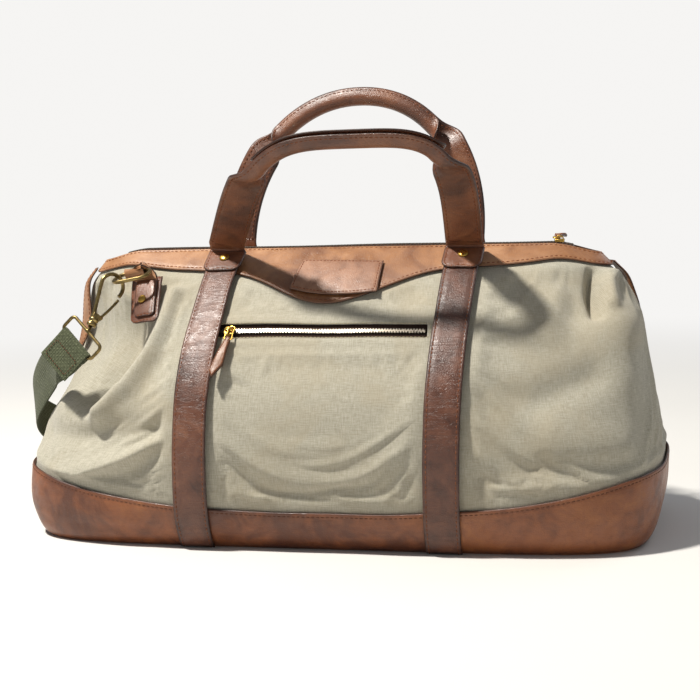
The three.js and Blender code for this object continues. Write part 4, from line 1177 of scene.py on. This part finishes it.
def pull(prefix, m):
    """The wire ring and the stitched leather pull in a frame whose -Y runs down the pull."""
    ring = [(-x, y) for x, y in RING_SIDE[1::-1]] + RING_SIDE + [(-x, y) for x, y in RING_SIDE[:1:-1]]
    points = np.array([[x, y, 0] for x, y in ring]) @ m[:3, :3].T + m[:3, 3]
    loop = resample(spline(np.vstack([points, points[:1]]), 8), 80)[:-1]
    wire(f"{prefix}_ring_wire", loop, 0.75, m[:3, 2], "brass", True, 10, rides=f"{prefix}_pull_ring",
         part=f"{prefix}_pull_ring")

    def place(u, v, out):
        end = np.interp(u, [0, PULL_FOOT, 1], [-46, PULL_TIP, -38.8])
        y = end + (-8.4 - end) * v
        x = (2 * u - 1) * (5.5 - 2.9 * v)
        bow = 0.9 * np.sin(v * math.pi) ** 2
        q = np.stack(np.broadcast_arrays(x, y, np.asarray(out) + bow), -1)
        return q @ m[:3, :3].T + m[:3, 3]

    edge = spaced(11, 4)[[0, 1, 2, 3, 5]]
    us = np.sort(np.r_[edge, PULL_FOOT, 1 - edge])
    slab(f"{prefix}_pull_leather", place, us, spaced(40, 16), -1.8, 3.4, "tan", "lrb", seam=1.7,
         pitch=2.9, groove=0.3, rides=f"{prefix}_pull",
         part=f"{prefix}_pull", rim=0.9)


pocket_up = unit(vec(*JOINTS["pocket_ring_swing"]["axis"]))
pocket_frame = stand(pivot("pocket_ring_swing") - 4 * pocket_up - vec(2.75, 0, 0), pocket_up)
slider("pocket_slider_body", pocket_frame, 5, "pocket_slider", "pocket_slider")
hang = math.radians(-9)
pull_frame = stand(pivot("pocket_ring_swing"), pocket_up)
hanging = np.array([[math.cos(hang), -math.sin(hang)], [math.sin(hang), math.cos(hang)]])
pull_frame[:3, :2] = pocket_frame[:3, :2] @ hanging
pull("pocket", pull_frame)
main_frame = np.diag([-1.0, -1.0, 1.0, 1.0])
main_frame[:3, 3] = (MAIN_SLIDER_X, 0, MAIN_Z)
slider("main_slider_body", main_frame, 7, "main_slider", "main_slider")
main_frame[:3, 3] = pivot("main_ring_swing")
pull("main", main_frame)

# ---------------- ring tabs, rings, hooks and the shoulder strap
def loop_points(middle, across, along, width, depth, radius, steps=10):
    """A closed rectangle with round corners."""
    out = []
    for sx, sy, start in ((1, 1, 0), (-1, 1, 0.5), (-1, -1, 1), (1, -1, 1.5)):
        for k in range(steps + 1):
            a = math.pi * (start + k / steps / 2)
            right = sx * (width / 2 - radius) + radius * math.cos(a)
            down = sy * (depth / 2 - radius) + radius * math.sin(a)
            out.append(middle + across * right + along * down)
    return resample(np.vstack([out, out[:1]]), 120)[:-1]


def squared(v, along):
    """The part of a direction, or of each one, that is square to another, as a unit vector."""
    return unit(v - along * (along @ v)[..., None])


RING_EYE = pivot("d_ring_front_tilt")
RING_BAR = unit(vec(0.98, 0, 0.17))
RING_DOWN = unit(vec(0, -0.96, -0.28))
RING_OVER = STRAP_OFFSET + LEATHER + GAP
FOLD_RADIUS = 4.1
FOLD_HALF = [(-9.5, -0.9), (-9.0, -1.1), (9.0, -1.1), (9.5, -0.9)]
FOLD_SECTION = FOLD_HALF + [(-x, -y) for x, y in FOLD_HALF]


def ring_fold(side, turn, top, under):
    """The roll of the tab round the ring's bar, from the top of the tab and back under itself."""
    bar, down = turn @ RING_BAR, turn @ RING_DOWN
    over = turn @ unit(np.cross(RING_BAR, RING_DOWN))
    angles = np.radians(np.arange(-60, 215, 25))
    roll = [turn @ RING_EYE + FOLD_RADIUS * (math.cos(a) * down + math.sin(a) * over) for a in angles]
    if np.linalg.norm(roll[0] - top) > np.linalg.norm(roll[-1] - top):
        roll = roll[::-1]
    before, after = top - unit(turn @ vec(0, 0.4, 1)) * 2, under + unit(turn @ vec(0, -0.2, 1)) * 2
    path = resample(spline(np.vstack([before, top, roll, after, under]), 10), 70)
    along = unit(np.gradient(path, axis=0))
    wide = squared(bar, along)
    sweep(f"ring_fold_{side}_leather", path, wide, np.cross(along, wide), FOLD_SECTION, ["tan", "edge"],
          part=f"ring_tab_roll_{side}", slots=[0, 0, 0, 1, 0, 0, 0, 1])


for side, about in (("front", 0.0), ("rear", math.pi)):
    turn = TURN_Z if about else np.eye(3)
    low, high = share(193), share(231)
    length = (high - low) * LENGTH
    backing = strip_place(RING_TAB_X, low, high, rounded(15, length, 6), RING_TAB_TURN, about)
    slab(f"ring_tab_backing_{side}_leather", backing, spaced(30, 8), round_rows(length, 16, 6), STRAP_OFFSET,
         LEATHER, "strap", "lrb", part=f"ring_tab_backing_{side}", seam=2.3, pitch=3.6)
    low, high = share(197), share(228)
    length = (high - low) * LENGTH
    over_half = rounded(12, length, 5)
    over = strip_place(RING_TAB_X + 1.4, low, high, lambda v, f=over_half: f(v) - 1.4, RING_TAB_TURN, about)
    slab(f"ring_tab_{side}_leather", over, spaced(21, 6), round_rows(length, 14, 5), RING_OVER, LEATHER,
         "handle", "rb", part=f"ring_tab_{side}", seam=2.2, pitch=3.6)
    top = over(vec(0.5), vec(0.99), vec(RING_OVER + 1.3))[0]
    ring_fold(side, turn, top, backing(vec(0.5), vec(0.97), vec(STRAP_OFFSET + 1.2))[0])
    rivet_share = share(RING_TAB_Z)
    angle = facing(np.array(float(RING_TAB_X)), rivet_share) + about
    spot = on_body(angle, rivet_share, RING_OVER + LEATHER + 2 * GAP)
    rivet(f"ring_rivet_{side}", spot, normal(angle, rivet_share), 0.85, f"ring_tab_rivet_{side}")
    middle = RING_EYE + RING_DOWN * (RING_DEPTH - WIRE) / 2
    loop = loop_points(middle, RING_BAR, RING_DOWN, RING_WIDTH - WIRE, RING_DEPTH - WIRE, RING_BEND) @ turn.T
    wire(f"d_ring_{side}_wire", loop, WIRE / 2, turn @ unit(np.cross(RING_BAR, RING_DOWN)), closed=True,
         rides=f"d_ring_{side}", part=f"d_ring_{side}")


LOOP_DEPTH, LOOP_GAP = 16, 10
BARREL = [(0.1, -4.2), (3.4, -4.2), (4.4, -3.2), (4.5, -1.0), (3.7, -0.4), (3.7, 0.6), (4.5, 1.2), (4.5, 3.6),
          (4.0, 4.4), (2.3, 4.5), (2.2, 3.8), (0.1, 3.8)]
BLOCK = [(-4.2, -2.6), (5.2, -2.6), (5.6, 0), (5.2, 2.6), (-4.2, 2.6)]
KNOB = [(0.1, -1.9), (1.7, -1.9), (2.0, -1.5), (2.0, 1.5), (1.7, 1.9), (0.1, 1.9)]
POST = [(0.1, 1.6), (1.7, 1.6), (1.7, 8.2), (2.6, 9.0), (2.6, 11.0), (0.1, 11.4)]


def end_frame(side, loop_down, loop_across):
    """The directions and places at one end of the shoulder strap."""
    e = {"eye": pivot(f"hook_{side}_turn"), "down": unit(vec(*JOINTS[f"hook_{side}_turn"]["axis"]))}
    e["facing"] = unit(vec(*JOINTS[f"hook_gate_{side}_open"]["axis"]))
    e["across"] = np.cross(e["facing"], e["down"])
    e["loop_down"] = unit(vec(*loop_down))
    e["loop_across"] = squared(vec(*loop_across), e["loop_down"])
    e["loop_facing"] = np.cross(e["loop_across"], e["loop_down"])
    e["loop_top"] = e["eye"] + e["down"] * (HOOK_LENGTH + LOOP_GAP)
    e["bar"] = e["loop_top"] + e["loop_down"] * LOOP_DEPTH
    return e


ENDS = {
    "front": end_frame("front", (-0.7, -0.12, -0.7), (0.68, -0.3, -0.68)),
    "rear": end_frame("rear", (-0.72, 0.3, -0.62), (-0.62, 0.2, 0.76)),
}


def hook_point(e, a, b):
    return e["eye"] + e["across"] * a + e["down"] * b


def snap_hook(side, e, m):
    """The bent wire of the hook with its swivel barrel, and the gate on its knob."""
    on_hook, on_gate = {"rides": f"hook_{side}"}, {"rides": f"hook_gate_{side}"}
    points = [hook_point(e, -2.2, HOOK_LENGTH - 2), hook_point(e, -2.8, HOOK_LENGTH - 6)]
    for a in np.linspace(math.pi, -0.12 * math.pi, 26):
        points.append(hook_point(e, HOOK_EYE * math.cos(a), EYE_DROP - HOOK_EYE * math.sin(a)))
    arm = wire(f"hook_{side}_body", resample(spline(points, 6), 90), WIRE / 2, e["facing"],
               part=f"hook_{side}", **on_hook)
    barrel = lathe("barrel", BARREL, m, "antique", **on_hook)
    join(f"hook_{side}_body", arm, barrel, prism("block", BLOCK, -8.5, -3.6, m, "antique", 0.8, **on_hook))
    hinge, tip = hook_point(e, 4.6, HOOK_LENGTH - 7), hook_point(e, HOOK_EYE + 0.6, EYE_DROP + 7.2)
    bow = resample(spline([hinge, (hinge + tip) / 2 + e["across"] * 0.5, tip]), 30)
    gate = wire(f"gate_{side}", bow, 1.3, e["facing"], part=f"hook_gate_{side}", **on_gate)
    join(f"gate_{side}", gate, lathe("knob", KNOB, stand(hinge, e["facing"]), "antique", **on_gate))


def strap_loop(side, e, m):
    """The wire loop that holds the webbing, with the post in the hook's barrel."""
    middle = e["loop_top"] + e["loop_down"] * LOOP_DEPTH / 2
    loop = loop_points(middle, e["loop_across"], e["loop_down"], WEBBING_WIDTH + 5.5, LOOP_DEPTH, 4)
    ring = wire(f"strap_loop_{side}_wire", loop, 1.55, e["loop_facing"], closed=True, rides="shoulder_strap",
                part=f"strap_loop_{side}")
    join(f"strap_loop_{side}_wire", ring, lathe("post", POST, m, "antique", rides="shoulder_strap"))


for side, e in ENDS.items():
    swivel = stand(hook_point(e, 0, HOOK_LENGTH), e["down"], e["across"])
    snap_hook(side, e, swivel)
    strap_loop(side, e, swivel)

STRAP_CLEAR = 12


def clear_of(degrees, z, out=STRAP_CLEAR):
    a, s = math.radians(degrees), share(z)
    return body(np.array(a), s) + normal(np.array(a), s) * out


def towards(direction, like):
    """A direction or its opposite, whichever is nearer to another."""
    return direction * np.sign(direction @ like)


def fold_at(e, further=0):
    return e["bar"] + e["loop_down"] * (WEBBING + further)


SLIDE_AT = vec(-56, 159, 62)
front_end, rear_end = ENDS["front"], ENDS["rear"]
control = [
    fold_at(front_end), fold_at(front_end, 14), clear_of(212, 136, STRAP_CLEAR + 13),
    clear_of(194, 106, STRAP_CLEAR + 5), clear_of(176, 84), clear_of(158, 70), clear_of(142, 64),
    clear_of(125, 62), vec(-100, 159, 62), vec(-65, 159, 62), vec(-30, 159, 62), vec(0, 159, 62),
    clear_of(74, 95, STRAP_CLEAR + 4), clear_of(66, 130, STRAP_CLEAR + 7),
    fold_at(rear_end, 14), fold_at(rear_end),
]
track = resample(spline(control, 30), 420)
along = unit(np.gradient(track, axis=0))
v = np.linspace(0, 1, len(track))
outward = unit(np.stack([track[:, 0] / 2, track[:, 1] * 2, 0 * v], -1))
for e, like, weight in ((front_end, vec(0, -1, 0), 1 - v * 7), (rear_end, vec(0, 1, 0), 1 - (1 - v) * 6)):
    weight = np.maximum(weight, 0)[:, None]
    outward = outward * (1 - weight) + towards(e["loop_facing"], like) * weight
across = unit(np.cross(along, outward))
upward = np.cross(across, along)


def web_section(width, thick, ribs=15):
    """A flat band with fine lengthwise ribs and rounded selvedges."""
    a = np.linspace(-1, 1, 4 * ribs + 1)
    groove = 0.22 * (0.5 + 0.5 * np.cos(a * math.pi * ribs))
    top = thick / 2 * (1 - groove) * (1 - 0.35 * smooth(0.93, 1, np.abs(a)))
    return np.vstack([np.stack([a * width / 2, -top], -1), np.stack([a[::-1] * width / 2, top[::-1]], -1)])


BOX = [(-15, 8), (15, 8), (15, 24), (-15, 24), (-15, 8)]
sweep("webbing_band", track, across, upward, web_section(WEBBING_WIDTH, 2.3), ["webbing"], uv=True,
      rides="shoulder_strap", part="shoulder_webbing")
for label, e, j in (("front", front_end, 0), ("rear", rear_end, -1)):
    # The end of the webbing goes round the loop's bar and is sewn down behind itself.
    n, down = -upward[j], e["loop_down"]
    start = track[j] + down * 6 + n * 1.2
    angles = np.radians(np.arange(0, 181, 30))
    round_bar = [e["bar"] + (math.cos(a) * n - math.sin(a) * down) * 2.9 for a in angles]
    tail = [track[j] + down * d - n * (2.6 - 0.02 * d) for d in (6, 14, 22, 28)]
    path = resample(spline(np.vstack([start, round_bar, tail]), 10), 70)
    tangent = unit(np.gradient(path, axis=0))
    wide = squared(e["loop_across"], tangent)
    sweep(f"webbing_fold_{label}", path, wide, np.cross(tangent, wide), web_section(WEBBING_WIDTH - 0.4, 1.9),
          ["webbing"], uv=True, rides="shoulder_strap")
    for height in (-3.7, 1.5):
        box = np.array([track[j] + down * d + e["loop_across"] * w + n * height for w, d in BOX])
        normals = np.tile(n * np.sign(height), (120, 1))
        stitch_row(resample(box, 120), normals, ("shoulder_strap", "thread_dark"), 3.2, 2.3, 0.36)

slide_frame = stand(SLIDE_AT, (0, 0, 1))
half_width = (WEBBING_WIDTH + 9) / 2
parts = []
for low in (-half_width, half_width - 3):
    side_bar = rectangle(-12, 12, -4.3, 4.3)
    parts.append(prism("strap_slide_frame", side_bar, low, low + 3, slide_frame, "antique", 1.1,
                       rides="strap_slide"))
for x in (-10.4, 10.4):
    for y in (-3.0, 3.0):
        bar = rectangle(x - 1.5, x + 1.5, y - 1.1, y + 1.1)
        parts.append(prism("bar", bar, 1 - half_width, half_width - 1, slide_frame, "antique", 0.5,
                           rides="strap_slide"))
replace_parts(join("strap_slide_frame", *parts), "strap_slide")

sew_threads()

# ---------------- frame nodes that stay, inside the bag
HIDDEN = {
    "pocket_pouch": "lining",
    "base_board": "board",
    "handle_core_front": "board",
    "handle_core_rear": "board",
}
for name, look in HIDDEN.items():
    kept = frame["nodes"][name]
    if not kept.material_slots:
        kept.data.materials.append(None)
    for material_slot in kept.material_slots:
        material_slot.material = LOOKS[look]

# ---------------- floor, light and camera
BACKDROP, AMBIENT = (0.92, 0.91, 0.895, 1), (0.24, 0.25, 0.265, 1)
floor_look = Look("floor", Roughness=0.85)
floor_look.link(floor_look.mix(floor_look.noise(3), rgb("dad8d4"), rgb("d4d2ce")), "Base Color")
# The floor fades into the colour of the backdrop with the distance from the bag.
away = node(floor_look.tree, "VectorMath", {0: floor_look.at}, operation="LENGTH").outputs["Value"]
glow = node(floor_look.tree, "Emission", {"Color": BACKDROP}).outputs[0]
faded = {0: floor_look.span(away, 0.55, 2.0), 1: floor_look.bsdf.outputs[0], 2: glow}
surface = floor_look.tree.nodes["Material Output"].inputs["Surface"]
floor_look.tree.links.new(node(floor_look.tree, "MixShader", faded).outputs[0], surface)
LOOKS["floor"] = floor_look.material
corners = [(x, y, 0) for x, y in rectangle(-9000, 9000, -6000, 9000)]
make("floor", corners, [[0, 1, 2, 3]], ["floor"], None)

scene = bpy.context.scene
world = bpy.data.worlds.new("world")
scene.world = world
world.use_nodes = True
sky = world.node_tree.nodes["Background"]
seen = node(world.node_tree, "LightPath").outputs["Is Camera Ray"]
tint = node(world.node_tree, "Mix", {0: seen, 6: AMBIENT, 7: BACKDROP}, data_type="RGBA")
world.node_tree.links.new(tint.outputs[2], sky.inputs["Color"])
scene.view_settings.view_transform = "Standard"


def area(name, location, target, size, power, colour=(1, 1, 1)):
    light = bpy.data.lights.new(name, "AREA")
    light.energy, light.size, light.color = power, size, colour
    obj = bpy.data.objects.new(name, light)
    obj.location = location
    obj.rotation_euler = (Vector(target) - Vector(location)).to_track_quat("-Z", "Y").to_euler()
    scene.collection.objects.link(obj)


area("key", (-1.0, -0.62, 2.5), (0, 0, 0.12), 0.2, 118, (1.0, 0.965, 0.9))
area("rim", (1.3, 1.4, 1.6), (0, 0, 0.2), 1.0, 8, (0.93, 0.96, 1.0))

AZIMUTH, ELEVATION, ROLL = math.radians(13.5), math.radians(7.5), math.radians(1.7)
DISTANCE, LOOK_Z = 1.425, 0.140
camera = bpy.data.objects.new("camera", bpy.data.cameras.new("camera"))
scene.collection.objects.link(camera)
flat = vec(math.sin(AZIMUTH), -math.cos(AZIMUTH), 0)
back = Vector(flat * math.cos(ELEVATION) + vec(0, 0, math.sin(ELEVATION)))
right = Vector((math.cos(AZIMUTH), math.sin(AZIMUTH), 0))
up = back.cross(right)
rolled = [right * math.cos(ROLL) - up * math.sin(ROLL), up * math.cos(ROLL) + right * math.sin(ROLL), back]
placed = Matrix.Translation(back * DISTANCE + Vector((0, 0, LOOK_Z)))
camera.matrix_world = placed @ Matrix(rolled).transposed().to_4x4()
camera.data.sensor_width = 36
camera.data.lens = 77.7
camera.data.shift_x, camera.data.shift_y = 0.003, 0.0316
scene.camera = camera
